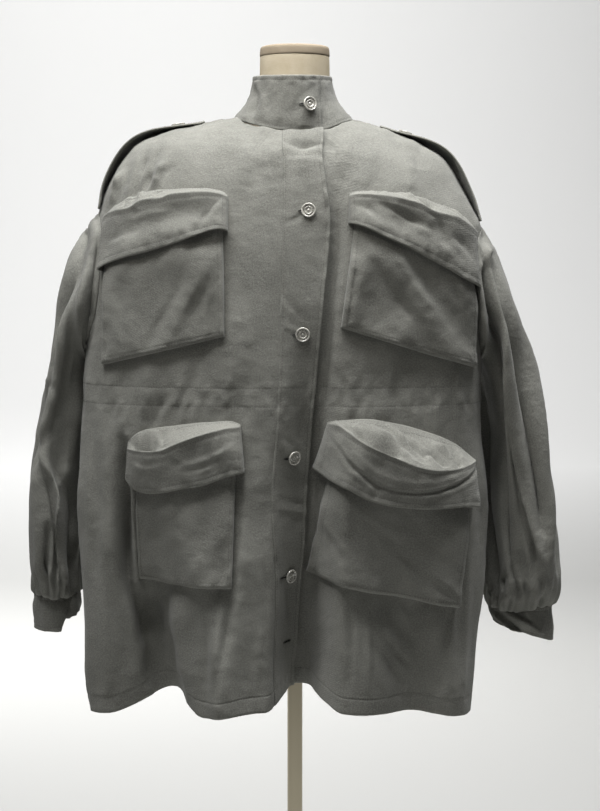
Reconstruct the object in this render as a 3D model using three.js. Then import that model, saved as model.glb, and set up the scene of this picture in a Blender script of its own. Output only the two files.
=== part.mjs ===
// An oversized field jacket of cotton twill, worn by a limbless dress form on a stand.
// Millimetres, +Z up, the front faces -Y and the wearer's left is +X.
// The origin is on the floor, on the pole's axis.

import * as THREE from 'three';
import { mergeVertices } from 'three/addons/utils/BufferGeometryUtils.js';

// Cloth and seams
const CLOTH = 1.6; // thickness of the twill, with its turned edges
const SEAM_GAP = 0.3; // left between two pieces that are sewn together
const LAID_GAP = 0.5; // between a panel and what is laid on it across its facets
const SEAT_PASSES = 10; // rounds of lifting a laid edge clear of the panel's facets
const SEAT_SAMPLES = 12; // places looked at between two points of the edge
const ARMHOLE_GAP = 0.32; // from the armhole's edge to the sleeve's
const UNDERLAP_DROP = 4.2; // how deep the left front lies where it runs in under the right one

// The jacket's body, level by level from the hem to the neckline.
// right, left, front and back are reaches from the pole's axis, sideY is where the side line lies,
// round is the power of the section's superellipse, edge and seam are the placket's two sides.
const BODY_LEVELS = [
  { name: 'hem', zRight: 541, zLeft: 537, zFront: 560, zBack: 548, right: 293, left: 247,
    front: 136, back: 122, sideY: -30, round: 2.0, edge: 3, seam: -27 },
  { name: 'skirt', zRight: 640, zLeft: 640, zFront: 645, zBack: 645, right: 302, left: 256,
    front: 137, back: 124, sideY: -30, round: 2.05, edge: 3, seam: -26 },
  { name: 'hip', zRight: 750, zLeft: 750, zFront: 750, zBack: 750, right: 306, left: 268,
    front: 138, back: 124, sideY: -30, round: 2.1, edge: 5, seam: -27 },
  { name: 'pocket', zRight: 850, zLeft: 850, zFront: 850, zBack: 850, right: 308, left: 268,
    front: 139, back: 122, sideY: -30, round: 2.15, edge: 12, seam: -34 },
  { name: 'waist', zRight: 950, zLeft: 950, zFront: 950, zBack: 950, right: 305, left: 257,
    front: 140, back: 118, sideY: -28, round: 2.2, edge: 20, seam: -28 },
  { name: 'underarm', zRight: 1055, zLeft: 1050, zFront: 1052, zBack: 1055, right: 298, left: 257,
    front: 141, back: 116, sideY: -22, round: 2.2, edge: 29, seam: -23 },
  { name: 'chest', zRight: 1130, zLeft: 1120, zFront: 1124, zBack: 1130, right: 297, left: 263,
    front: 142, back: 117, sideY: -12, round: 2.15, edge: 35, seam: -22 },
  { name: 'blade', zRight: 1190, zLeft: 1176, zFront: 1184, zBack: 1194, right: 292, left: 264,
    front: 140, back: 116, sideY: -4, round: 2.1, edge: 41, seam: -21 },
  { name: 'point', zRight: 1242, zLeft: 1225, zFront: 1237, zBack: 1247, right: 281, left: 259,
    front: 135, back: 110, sideY: 0, round: 2.0, edge: 43, seam: -19 },
  { name: 'cap', zRight: 1292, zLeft: 1276, zFront: 1276, zBack: 1288, right: 261, left: 234,
    front: 129, back: 102, sideY: 4, round: 1.95, edge: 38, seam: -19 },
  { name: 'shoulder', zRight: 1341, zLeft: 1325, zFront: 1310, zBack: 1328, right: 222, left: 200,
    front: 118, back: 89, sideY: 6, round: 1.9, edge: 33, seam: -19 },
  { name: 'slope', zRight: 1363, zLeft: 1353, zFront: 1333, zBack: 1357, right: 158, left: 142,
    front: 106, back: 75, sideY: 8, round: 1.9, edge: 34, seam: -20 },
  { name: 'neck', zRight: 1374, zLeft: 1372, zFront: 1351, zBack: 1384, right: 90, left: 78,
    front: 95, back: 62, sideY: 6, round: 2.0, edge: 36, seam: -20 },
];
const UNDERARM = 5; // level where the armhole starts
const POINT = 8; // level of the shoulder point, where it ends
const NECK = 12;
const ARM_STEPS = 7; // grid rows in the armhole's height
const SHOULDER_STEPS = 6; // grid rows from the shoulder point to the neckline
const ARMHOLE_FRONT = 62; // how far the armhole cuts into the front at its widest
const ARMHOLE_BACK = 70;
const SECTION_STEPS = 96; // straight steps that a quarter section is measured with

// The largest folds. along is the distance round the front from the centre, at the fold's foot,
// lean is how much further out it lies at its top, depth is out of the panel, or in if negative,
// and lift is how far the hem rises there.
const FRONT_FOLDS = [
  { along: 8, lean: 14, foot: 480, top: 1120, depth: -66, width: 54, lift: 20 },
  { along: -64, lean: -6, foot: 480, top: 900, depth: 9, width: 52, lift: 0 },
  { along: 82, lean: 8, foot: 480, top: 900, depth: 10, width: 56, lift: -2 },
  { along: -190, lean: 40, foot: 480, top: 880, depth: -48, width: 80, lift: 24 },
  { along: -290, lean: 10, foot: 480, top: 1000, depth: 12, width: 48, lift: 0 },
  { along: 176, lean: -60, foot: 500, top: 880, depth: -14, width: 52, lift: 3 },
  { along: 232, lean: -40, foot: 480, top: 900, depth: 12, width: 50, lift: 0 },
  { along: -250, lean: 38, foot: 1090, top: 1330, depth: -6, width: 36, lift: 0 },
];
const BACK_FOLDS = [
  { along: 0, lean: 0, foot: 480, top: 1180, depth: -14, width: 74, lift: 6 },
  { along: 110, lean: -20, foot: 480, top: 1080, depth: 14, width: 66, lift: -4 },
  { along: -112, lean: 16, foot: 480, top: 1060, depth: 16, width: 66, lift: -4 },
  { along: 215, lean: -30, foot: 480, top: 1000, depth: -26, width: 66, lift: 12 },
  { along: -225, lean: 34, foot: 480, top: 980, depth: -30, width: 68, lift: 14 },
];
const FOLD_GROWTH = 1.3; // how late a fold grows to its full depth, from its top down

// Sleeves, ring by ring from the armhole to the gathering seam.
// outer and inner are the ring's reaches in X and zOuter and zInner its heights there.
const RIGHT_SLEEVE_RINGS = [
  { zOuter: 1242, zInner: 1056, outer: 282, inner: 299, front: -60, back: 66 },
  { zOuter: 1228, zInner: 1049, outer: 294, inner: 302, front: -68, back: 84 },
  { zOuter: 1200, zInner: 1040, outer: 310, inner: 304, front: -66, back: 98 },
  { zOuter: 1150, zInner: 1026, outer: 327, inner: 305, front: -58, back: 110 },
  { zOuter: 1096, zInner: 1004, outer: 343, inner: 306, front: -50, back: 119 },
  { zOuter: 1030, zInner: 968, outer: 357, inner: 306, front: -44, back: 127 },
  { zOuter: 962, zInner: 922, outer: 372, inner: 305, front: -40, back: 131 },
  { zOuter: 884, zInner: 862, outer: 384, inner: 303, front: -38, back: 132 },
  { zOuter: 806, zInner: 796, outer: 387, inner: 302, front: -37, back: 130 },
  { zOuter: 744, zInner: 740, outer: 388, inner: 304, front: -30, back: 122 },
];
const LEFT_SLEEVE_RINGS = [
  { zOuter: 1225, zInner: 1051, outer: 260, inner: 258, front: -60, back: 66 },
  { zOuter: 1210, zInner: 1044, outer: 269, inner: 261, front: -70, back: 84 },
  { zOuter: 1178, zInner: 1034, outer: 282, inner: 264, front: -68, back: 98 },
  { zOuter: 1125, zInner: 1016, outer: 301, inner: 265, front: -60, back: 108 },
  { zOuter: 1062, zInner: 990, outer: 320, inner: 266, front: -52, back: 114 },
  { zOuter: 994, zInner: 948, outer: 336, inner: 268, front: -46, back: 118 },
  { zOuter: 924, zInner: 898, outer: 351, inner: 271, front: -42, back: 120 },
  { zOuter: 850, zInner: 838, outer: 366, inner: 272, front: -40, back: 118 },
  { zOuter: 780, zInner: 774, outer: 377, inner: 271, front: -36, back: 112 },
  { zOuter: 724, zInner: 721, outer: 382, inner: 270, front: -28, back: 102 },
];
// around is counted in degrees from the sleeve's outer side over its front.
const SLEEVE_FOLDS = [
  { around: 48, turn: 20, foot: 720, top: 1150, depth: 9, width: 30 },
  { around: 92, turn: 16, foot: 720, top: 1120, depth: -13, width: 30 },
  { around: 20, turn: 4, foot: 720, top: 1060, depth: -6, width: 20 },
  { around: 215, turn: 10, foot: 720, top: 1080, depth: -9, width: 30 },
  { around: 275, turn: -14, foot: 720, top: 1140, depth: -12, width: 32 },
  { around: 320, turn: -10, foot: 720, top: 1120, depth: 7, width: 28 },
];
const SLEEVE_POINTS = 4 * ARM_STEPS; // points round a ring
const SLEEVE_CLEAR = 3.4; // from the body's side to the sleeve
const SLEEVE_NEAR = 6; // how near the armhole's edge it comes down to its seam
const GATHER_DEPTH = 4.2;
const GATHER_ROWS = 3;
const CUFFS = {
  right: { z: 692, outer: 384, inner: 318, front: 0, back: 100, height: 49, tilt: 0, flare: 1 },
  left: { z: 673, outer: 371, inner: 279, front: 14, back: 82, height: 44, tilt: 12, flare: 3 },
};
const CUFF_ROWS = 2;

// Collar
const COLLAR_COLUMNS = 30;
const COLLAR_ROWS = 4;
const COLLAR_TOP = { front: 1426, right: 1424, left: 1430, back: 1438 };
const COLLAR_REACH = { right: 64, left: 53, front: 60, back: 64 };
const COLLAR_END = 34; // where the outer end stops, left of the centre
const COLLAR_UNDER_END = -16; // where the inner end stops under it
const COLLAR_LAP_DROP = 4;

// Patch pockets. The x values are measured from the centre on the front, the z values from the
// floor, mouth and foot name the bag's upper and lower ends, arc is how far the lid's seam bows up.
const POCKETS = [
  { name: 'chest_right', side: -1, outer: 259, inner: 100, outerFoot: 267, innerFoot: 98,
    mouthOuter: 1212, mouthInner: 1238, footOuter: 1033, footInner: 1074, depth: 21, mouthDepth: 14,
    lidOuter: 268, lidInner: 92, lidOuterZ: 1231, lidInnerZ: 1262, arc: 21,
    bandOuter: 63, bandInner: 50, lidDrop: 11, flapDepth: 25, footDepth: 22, spread: 0 },
  { name: 'chest_left', side: 1, outer: 236, inner: 77, outerFoot: 243, innerFoot: 58,
    mouthOuter: 1196, mouthInner: 1230, footOuter: 1028, footInner: 1086, depth: 22, mouthDepth: 14,
    lidOuter: 245, lidInner: 70, lidOuterZ: 1218, lidInnerZ: 1258, arc: 24,
    bandOuter: 79, bandInner: 38, lidDrop: 15, flapDepth: 28, footDepth: 24, spread: 4 },
  { name: 'waist_right', side: -1, outer: 222, inner: 82, outerFoot: 217, innerFoot: 89,
    mouthOuter: 905, mouthInner: 925, footOuter: 734, footInner: 732, depth: 21, mouthDepth: 18,
    lidOuter: 231, lidInner: 74, lidOuterZ: 926, lidInnerZ: 950, arc: 14,
    bandOuter: 56, bandInner: 62, lidDrop: 24, flapDepth: 33, footDepth: 26, spread: 4 },
  { name: 'waist_left', side: 1, outer: 234, inner: 47, outerFoot: 220, innerFoot: 12,
    mouthOuter: 880, mouthInner: 922, footOuter: 698, footInner: 745, depth: 24, mouthDepth: 26,
    lidOuter: 247, lidInner: 41, lidOuterZ: 903, lidInnerZ: 956, arc: 24,
    bandOuter: 62, bandInner: 58, lidDrop: 46, flapDepth: 46, footDepth: 36, spread: 18 },
];
const BAG_COLUMNS = 11;
const BAG_ROWS = 7;
const FLAP_COLUMNS = 12;
const FLAP_LID_ROWS = 2;
const FLAP_BAND_ROWS = 3;

// Shoulder straps: levels of the body's table where each ends, its width and its lift off the seam
const STRAP = { from: POINT + 0.12, to: 11.4, width: 46, lift: 14, columns: 12, shiftY: -2 };
const STRAP_STRIPS = 4;

// Buttons
const BUTTON = { radius: 10, thick: 3.4, rim: 1.9, dish: 1.1, sides: 12 };
const FRONT_BUTTON_PLACES = [
  { x: 15, z: 1243 }, { x: 7, z: 1077 }, { x: -5, z: 908 }, { x: -11, z: 742 },
];
const COLLAR_BUTTON = { x: 16, z: 1390 };
const BUTTON_LIFT = 0.35;

// Dress form, level by level from its foot to the top of its neck
const FORM_X = -4;
const FORM_LEVELS = [
  { z: 676, wide: 140, front: 56, back: 84 },
  { z: 684, wide: 150, front: 66, back: 94 },
  { z: 735, wide: 162, front: 74, back: 102 },
  { z: 800, wide: 162, front: 82, back: 102 },
  { z: 890, wide: 138, front: 84, back: 84 },
  { z: 970, wide: 122, front: 84, back: 76 },
  { z: 1060, wide: 136, front: 102, back: 84 },
  { z: 1140, wide: 150, front: 124, back: 92 },
  { z: 1200, wide: 158, front: 122, back: 94 },
  { z: 1260, wide: 170, front: 104, back: 88 },
  { z: 1302.8, wide: 180.4, front: 91, back: 79 },
  { z: 1329.8, wide: 168.4, front: 81, back: 71 },
  { z: 1349.8, wide: 133.4, front: 73, back: 63 },
  { z: 1362.8, wide: 98.4, front: 67, back: 58 },
  { z: 1375, wide: 64, front: 58, back: 51 },
  { z: 1410, wide: 51, front: 52, back: 47 },
  { z: 1459.5, wide: 48.5, front: 50, back: 45 },
];
const FORM_SIDES = 28;
const CAP = { z: 1460, height: 14, wide: 49, front: 50.5, back: 45.5, round: 3 };

// Stand
const POLE_RADIUS = 11;
const POLE_SIDES = 20;
const BASE = { radius: 178, thick: 7, crown: 15, hub: 21, sides: 36 };

const TWILL = { color: '#6f6f6a', roughness: 0.93, metalness: 0 };
const PEARL = { color: '#b9b8ae', roughness: 0.3, metalness: 0 };
const JERSEY = { color: '#cfc3ab', roughness: 0.95, metalness: 0 };
const CAP_CLOTH = { color: '#b3a78f', roughness: 0.9, metalness: 0 };
const CHROME = { color: '#c9c6c0', roughness: 0.16, metalness: 1 };
const LACQUER = { color: '#c8c6c1', roughness: 0.3, metalness: 1 };

const jacket = new THREE.Group();

// Plain helpers
const mix = (a, b, share) => a + (b - a) * share;
const clamp = (value, low, high) => Math.min(high, Math.max(low, value));
const ease = (value) => {
  const s = clamp(value, 0, 1);
  return s * s * (3 - 2 * s);
};
const bell = (distance) => (Math.abs(distance) < 1 ? 0.5 + 0.5 * Math.cos(Math.PI * distance) : 0);
const vec = (x, y, z) => new THREE.Vector3(x, y, z);
const moved = (point, direction, distance) => point.clone().addScaledVector(direction, distance);

// A smooth value of one named column at a level between two rows of a table
function column(table, key, level) {
  const last = table.length - 1;
  const at = clamp(level, 0, last);
  const row = Math.min(last - 1, Math.floor(at));
  const s = at - row;
  const p1 = table[row][key];
  const p2 = table[row + 1][key];
  const p0 = row > 0 ? table[row - 1][key] : 2 * p1 - p2;
  const p3 = row + 2 <= last ? table[row + 2][key] : 2 * p2 - p1;
  const cubic = -p0 + 3 * p1 - 3 * p2 + p3;
  const square = 2 * p0 - 5 * p1 + 4 * p2 - p3;
  return p1 + 0.5 * s * (p2 - p0 + s * (square + s * cubic));
}

// Adds one closed mesh to the group
function addPiece(name, positions, indices, finish) {
  let geometry = new THREE.BufferGeometry();
  geometry.setAttribute('position', new THREE.Float32BufferAttribute(positions, 3));
  geometry.setIndex(indices);
  if (signedVolume(positions, indices) < 0) {
    for (let i = 0; i < indices.length; i += 3) {
      const second = indices[i + 1];
      indices[i + 1] = indices[i + 2];
      indices[i + 2] = second;
    }
    geometry.setIndex(indices);
  }
  geometry = mergeVertices(geometry, 1e-4);
  geometry.computeVertexNormals();
  const mesh = new THREE.Mesh(geometry, new THREE.MeshStandardMaterial(finish));
  mesh.name = name;
  jacket.add(mesh);
  return mesh;
}

function signedVolume(positions, indices) {
  const corner = (i) => vec(positions[3 * i], positions[3 * i + 1], positions[3 * i + 2]);
  let volume = 0;
  for (let i = 0; i < indices.length; i += 3) {
    const a = corner(indices[i]);
    const b = corner(indices[i + 1]);
    const c = corner(indices[i + 2]);
    volume += a.dot(b.cross(c)) / 6;
  }
  return volume;
}

// A wall of cloth between two grids of points, outer and inner, row over row.
// A closed grid runs round. A row may have twice the points of the row before it.
function addWall(name, outer, inner, closed, finish) {
  const positions = [];
  const indices = [];
  const number = (grid) => grid.map((row) => row.map((p) => positions.push(p.x, p.y, p.z) / 3 - 1));
  const outside = number(outer);
  const inside = number(inner);
  const last = outer.length - 1;
  const tri = (flip, a, b, c) => (flip ? indices.push(a, c, b) : indices.push(a, b, c));
  const skin = (grid, flip) => {
    for (let r = 0; r < last; r += 1) {
      const low = grid[r];
      const high = grid[r + 1];
      const doubled = high.length >= 2 * low.length - 1 && low.length > 2;
      const steps = closed ? low.length : low.length - 1;
      for (let c = 0; c < steps; c += 1) {
        const a = low[c];
        const b = low[(c + 1) % low.length];
        if (doubled) {
          const d = high[2 * c];
          const m = high[2 * c + 1];
          const e = high[(2 * c + 2) % high.length];
          tri(flip, a, b, m);
          tri(flip, b, e, m);
          tri(flip, a, m, d);
        } else {
          const d = high[c];
          const e = high[(c + 1) % high.length];
          tri(flip, a, b, e);
          tri(flip, a, e, d);
        }
      }
    }
  };
  skin(outside, false);
  skin(inside, true);
  const rim = (p, q, pIn, qIn) => {
    indices.push(q, p, pIn);
    indices.push(q, pIn, qIn);
  };
  const rimRow = (r, forward) => {
    const steps = closed ? outside[r].length : outside[r].length - 1;
    for (let c = 0; c < steps; c += 1) {
      const next = (c + 1) % outside[r].length;
      const [from, to] = forward ? [c, next] : [next, c];
      rim(outside[r][from], outside[r][to], inside[r][from], inside[r][to]);
    }
  };
  rimRow(0, true);
  rimRow(last, false);
  if (!closed) {
    for (let r = 0; r < last; r += 1) {
      const end = outside[r].length - 1;
      rim(outside[r][end], outside[r + 1][end], inside[r][end], inside[r + 1][end]);
      rim(outside[r + 1][0], outside[r][0], inside[r + 1][0], inside[r][0]);
    }
  }
  return addPiece(name, positions, indices, finish);
}

// Directions that point out of a grid of points, from each point's neighbours
function gridNormals(grid, closed, facing) {
  return grid.map((row, r) => row.map((point, c) => {
    const before = closed ? row[(c + row.length - 1) % row.length] : row[Math.max(0, c - 1)];
    const after = closed ? row[(c + 1) % row.length] : row[Math.min(row.length - 1, c + 1)];
    const low = grid[Math.max(0, r - 1)];
    const high = grid[Math.min(grid.length - 1, r + 1)];
    const under = low[Math.round((c * low.length) / row.length)] ?? low[low.length - 1];
    const over = high[Math.round((c * high.length) / row.length)] ?? high[high.length - 1];
    const across = after.clone().sub(before);
    const up = over.clone().sub(under);
    return across.cross(up).normalize().multiplyScalar(facing);
  }));
}

const insideOf = (grid, normals, wall) => grid.map(
  (row, r) => row.map((point, c) => moved(point, normals[r][c], -wall)),
);

// The body's section at a level: a quarter from a centre line to a side line, evenly spaced
const quarterStore = new Map();
function quarter(level, side, half) {
  const key = `${level.toFixed(5)} ${side} ${half}`;
  if (quarterStore.has(key)) {
    return quarterStore.get(key);
  }
  const reach = column(BODY_LEVELS, side < 0 ? 'right' : 'left', level);
  const sideY = column(BODY_LEVELS, 'sideY', level);
  const depth = half === 'front'
    ? column(BODY_LEVELS, 'front', level) + sideY
    : column(BODY_LEVELS, 'back', level) - sideY;
  const power = 2 / column(BODY_LEVELS, 'round', level);
  const points = [];
  const lengths = [0];
  for (let i = 0; i <= SECTION_STEPS; i += 1) {
    const turn = (Math.PI / 2) * (i / SECTION_STEPS);
    const across = reach * Math.sin(turn) ** power;
    const deep = depth * Math.cos(turn) ** power;
    points.push({ across, deep, centre: Math.cos(turn) ** 2 });
    if (i > 0) {
      const before = points[i - 1];
      lengths.push(lengths[i - 1] + Math.hypot(across - before.across, deep - before.deep));
    }
  }
  const result = { points, lengths, length: lengths[SECTION_STEPS], sideY, side, half };
  quarterStore.set(key, result);
  return result;
}

function onQuarter(section, share) {
  const { points, lengths, length, sideY, side, half } = section;
  const goal = clamp(share, 0, 1) * length;
  let i = 1;
  while (i < lengths.length - 1 && lengths[i] < goal) {
    i += 1;
  }
  const s = (goal - lengths[i - 1]) / (lengths[i] - lengths[i - 1]);
  const forward = half === 'front' ? -1 : 1;
  const a = points[i - 1];
  const b = points[i];
  const across = mix(a.across, b.across, s);
  const deep = mix(a.deep, b.deep, s);
  const runAcross = b.across - a.across;
  const runDeep = b.deep - a.deep;
  const run = Math.hypot(runAcross, runDeep);
  return {
    x: side * across,
    y: sideY + forward * deep,
    outX: (side * -runDeep) / run,
    outY: (forward * runAcross) / run,
    centre: mix(a.centre, b.centre, s),
  };
}

// How far the folds push the cloth out, and how far they lift the hem
function foldsAt(table, along, z) {
  let push = 0;
  let lift = 0;
  for (const fold of table) {
    const rise = clamp((z - fold.foot) / (fold.top - fold.foot), 0, 1);
    const strength = Math.sin((Math.PI / 2) * (1 - rise)) ** FOLD_GROWTH;
    const lean = Math.sign(fold.along || 1) * fold.lean * rise;
    const across = bell((along - fold.along - lean) / fold.width);
    const started = ease((z - fold.foot) / 60);
    push += fold.depth * strength * across * (fold.foot > 600 ? started : 1);
    lift += fold.lift * across;
  }
  return { push, lift };
}

// A point of the jacket's body. round goes from 0 at the centre front over 1 (wearer's left side)
// or -1 (right side) to 2 or -2 at the centre back.
function bodyPoint(round, level, folded = true) {
  const side = round < 0 ? -1 : 1;
  const far = Math.abs(round);
  const half = far <= 1 ? 'front' : 'back';
  const section = quarter(level, side, half);
  const spot = onQuarter(section, far <= 1 ? far : 2 - far);
  const zSide = column(BODY_LEVELS, side < 0 ? 'zRight' : 'zLeft', level);
  const zCentre = column(BODY_LEVELS, half === 'front' ? 'zFront' : 'zBack', level);
  const z = mix(zSide, zCentre, spot.centre);
  const along = side * section.length * (far <= 1 ? far : 2 - far);
  const folds = half === 'front' ? FRONT_FOLDS : BACK_FOLDS;
  const { push, lift } = foldsAt(folded ? folds : [], along, z);
  const hemShare = ease(1 - level / 2.2);
  return vec(spot.x + push * spot.outX, spot.y + push * spot.outY, z + lift * hemShare);
}

function bodyNormal(round, level, folded = true) {
  const step = 0.01;
  const across = bodyPoint(round + step, level, folded).sub(bodyPoint(round - step, level, folded));
  const up = bodyPoint(round, Math.min(NECK, level + step), folded)
    .sub(bodyPoint(round, Math.max(0, level - step), folded));
  return across.cross(up).normalize();
}

// Rows of the body's grids: half steps, finer at the armhole and over the shoulder
const bodyRows = [];
for (let i = 0; i < 2 * UNDERARM; i += 1) {
  bodyRows.push(i / 2);
}
for (let i = 0; i < ARM_STEPS; i += 1) {
  bodyRows.push(mix(UNDERARM, POINT, 0.5 - 0.5 * Math.cos((Math.PI * i) / ARM_STEPS)));
}
for (let i = 0; i <= SHOULDER_STEPS; i += 1) {
  bodyRows.push(mix(POINT, NECK, i / SHOULDER_STEPS));
}

// How far the armhole cuts in from the side line, as a share of the quarter
function armholeCut(level, side, half) {
  const share = (level - UNDERARM) / (POINT - UNDERARM);
  if (share <= 0 || share >= 1) {
    return 0;
  }
  const widest = half === 'front' ? ARMHOLE_FRONT : ARMHOLE_BACK;
  const bow = Math.sqrt(1 - (2 * share - 1) ** 2);
  return (widest * bow) / quarter(level, side, half).length;
}

// x on the front as a share of the quarter, near the centre where the panel is square on
const shareAtX = (x, level) => x / quarter(level, x < 0 ? -1 : 1, 'front').length;

const gapShare = (level, side, half) => (0.5 * SEAM_GAP) / quarter(level, side, half).length;

// A grid of body points with their outward directions and a sink below the body's surface.
// ways are the outward directions that the body would have without its folds.
function bodyGrid(rows, roundAt, columns, sinkAt) {
  const points = [];
  const normals = [];
  const ways = [];
  for (const level of rows) {
    const row = [];
    const out = [];
    const way = [];
    for (let c = 0; c <= columns; c += 1) {
      const round = roundAt(c / columns, level);
      const normal = bodyNormal(round, level);
      row.push(moved(bodyPoint(round, level), normal, -sinkAt(round, level)));
      out.push(normal);
      way.push(bodyNormal(round, level, false));
    }
    points.push(row);
    normals.push(out);
    ways.push(way);
  }
  return { points, normals, ways };
}

const FRONT_COLUMNS = 17;
const STRIP_COLUMNS = 4; // of them, the ones under the placket strip
const STRIP_OVERHANG = 1.2; // of the strip past the panel's edge

// Right front, from its side seam to the free edge under the placket strip
const giveWay = (share) => (1 - share) ** 2.4; // how a panel's columns make room for the armhole
function rightFrontRound(share, level) {
  const outer = -1 + gapShare(level, -1, 'front');
  const seam = shareAtX(column(BODY_LEVELS, 'seam', level), level);
  const edge = shareAtX(column(BODY_LEVELS, 'edge', level) - STRIP_OVERHANG, level);
  const split = 1 - STRIP_COLUMNS / FRONT_COLUMNS;
  if (share > split) {
    return mix(seam, edge, (share - split) / (1 - split));
  }
  return mix(outer, seam, share / split) + armholeCut(level, -1, 'front') * giveWay(share / split);
}
const rightFront = bodyGrid(bodyRows, rightFrontRound, FRONT_COLUMNS, () => 0);
const rightFrontInside = insideOf(rightFront.points, rightFront.normals, CLOTH);
addWall('right_front', rightFront.points, rightFrontInside, false, TWILL);

// Left front, from its edge under the right front to its side seam. Its first columns lie right
// under the strip's, so that both panels bend at the same places.
const LAP_COLUMNS = STRIP_COLUMNS - 1;
function leftFrontRound(share, level) {
  const seam = shareAtX(column(BODY_LEVELS, 'seam', level), level);
  const edge = shareAtX(column(BODY_LEVELS, 'edge', level) - STRIP_OVERHANG, level);
  const outer = 1 - gapShare(level, 1, 'front');
  const split = LAP_COLUMNS / FRONT_COLUMNS;
  if (share < split) {
    return mix(mix(seam, edge, 1 / STRIP_COLUMNS), edge, share / split);
  }
  const beyond = (share - split) / (1 - split);
  return mix(edge, outer, beyond) - armholeCut(level, 1, 'front') * giveWay(1 - beyond);
}
function underlapSink(round, level) {
  const edge = column(BODY_LEVELS, 'edge', level);
  const x = round * quarter(level, round < 0 ? -1 : 1, 'front').length;
  return UNDERLAP_DROP * (1 - ease((x - edge - 4) / 44));
}
const leftFront = bodyGrid(bodyRows, leftFrontRound, FRONT_COLUMNS, underlapSink);
addWall('left_front', leftFront.points, insideOf(leftFront.points, leftFront.normals, CLOTH), false, TWILL);

// Back, from the right side seam to the left one
const BACK_COLUMNS = 22;
function backRound(share, level) {
  const right = 1 + gapShare(level, -1, 'back');
  const left = 3 - gapShare(level, 1, 'back');
  const round = mix(right, left, share) + armholeCut(level, -1, 'back') * giveWay(Math.min(1, 2 * share))
    - armholeCut(level, 1, 'back') * giveWay(Math.min(1, 2 - 2 * share));
  return round <= 2 ? -round : 4 - round;
}
const back = bodyGrid(bodyRows, backRound, BACK_COLUMNS, () => 0);
// The way round runs against the front's, so the outward directions are turned
back.normals = back.normals.map((row, r) => row.map((normal, c) => {
  const middle = vec(0, 0, back.points[r][c].z);
  const away = back.points[r][c].clone().sub(middle);
  return away.dot(normal) < 0 ? normal.negate() : normal;
}));
addWall('back', back.points, insideOf(back.points, back.normals, CLOTH), false, TWILL);

// Placket strip: the right front's own points, moved out
const stripFrom = FRONT_COLUMNS - STRIP_COLUMNS;
const stripGrid = (lift) => rightFront.points.map((row, r) => {
  const cells = [];
  for (let c = stripFrom; c <= FRONT_COLUMNS; c += 1) {
    const point = moved(row[c], rightFront.normals[r][c], lift);
    if (c === FRONT_COLUMNS) {
      point.x += STRIP_OVERHANG;
    }
    cells.push(point);
  }
  return cells;
});
addWall('front_placket', stripGrid(SEAM_GAP + CLOTH), stripGrid(SEAM_GAP), false, TWILL);

// Where a line through (x, z), square to the front, meets a panel's facets, or null beside them
function findOn(panel, x, z) {
  let best = null;
  const { points, normals, ways = normals } = panel;
  const blend = (field, cells, shares) => cells.reduce(
    (sum, [r, c], i) => sum.addScaledVector(field[r][c], shares[i]),
    vec(0, 0, 0),
  );
  const test = (cells) => {
    const [a, b, c] = cells.map(([r, column]) => points[r][column]);
    const area = (b.x - a.x) * (c.z - a.z) - (c.x - a.x) * (b.z - a.z);
    if (Math.abs(area) < 1e-9) {
      return;
    }
    const v = ((x - a.x) * (c.z - a.z) - (c.x - a.x) * (z - a.z)) / area;
    const w = ((b.x - a.x) * (z - a.z) - (x - a.x) * (b.z - a.z)) / area;
    const shares = [1 - v - w, v, w];
    if (Math.min(...shares) < -1e-6) {
      return;
    }
    const point = blend(points, cells, shares);
    if (!best || point.y < best.point.y) {
      const normal = blend(normals, cells, shares).normalize();
      const way = blend(ways, cells, shares).normalize();
      best = { point, normal, way };
    }
  };
  for (let r = 0; r + 1 < points.length; r += 1) {
    for (let c = 0; c + 1 < points[r].length; c += 1) {
      test([[r, c], [r, c + 1], [r + 1, c + 1]]);
      test([[r, c], [r + 1, c + 1], [r + 1, c]]);
    }
  }
  return best;
}

// The same, but moved in from beside the panel until it is met
function layOn(panel, x, z) {
  for (let step = 0; step < 40; step += 1) {
    const on = findOn(panel, x - Math.sign(x) * step, z);
    if (on) {
      return on;
    }
  }
  throw new Error(`no panel at ${x.toFixed(1)}, ${z.toFixed(1)}`);
}

// A pocket's bulge across its width, boxy for a high power
const bow = (share, power) => (1 - Math.abs(2 * share - 1) ** power) ** (1 / power);
const panelOf = (side) => (side < 0 ? rightFront : leftFront);

// The x shares of a pocket's columns, closer together at both gussets
function gussetShares(columns) {
  const shares = [];
  for (let c = 0; c <= columns; c += 1) {
    const even = c / columns;
    shares.push(0.5 - 0.5 * Math.cos(Math.PI * even) * (0.82 + 0.18 * Math.abs(2 * even - 1)));
  }
  const first = shares[0];
  return shares.map((share) => (share - first) / (1 - 2 * first));
}

// Lifts the edges of a wall that lie on a panel until the straight runs between their points
// clear its facets. edgeCells lists the row and column of each point of the edge, in order.
function seatEdges(panel, grids, edgeCells) {
  const clearance = (point) => {
    const on = findOn(panel, point.x, point.z);
    return on
      ? { over: point.clone().sub(on.point).dot(on.normal), normal: on.normal }
      : { over: LAID_GAP, normal: point };
  };
  for (const grid of grids) {
    for (let pass = 0; pass < SEAT_PASSES; pass += 1) {
      for (let i = 0; i + 1 < edgeCells.length; i += 1) {
        const [rA, cA] = edgeCells[i];
        const [rB, cB] = edgeCells[i + 1];
        for (let k = 0; k <= SEAT_SAMPLES; k += 1) {
          const { over, normal } = clearance(grid[rA][cA].clone().lerp(grid[rB][cB], k / SEAT_SAMPLES));
          if (over < LAID_GAP) {
            grid[rA][cA].addScaledVector(normal, LAID_GAP - over);
            grid[rB][cB].addScaledVector(normal, LAID_GAP - over);
          }
        }
      }
    }
  }
}

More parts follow.
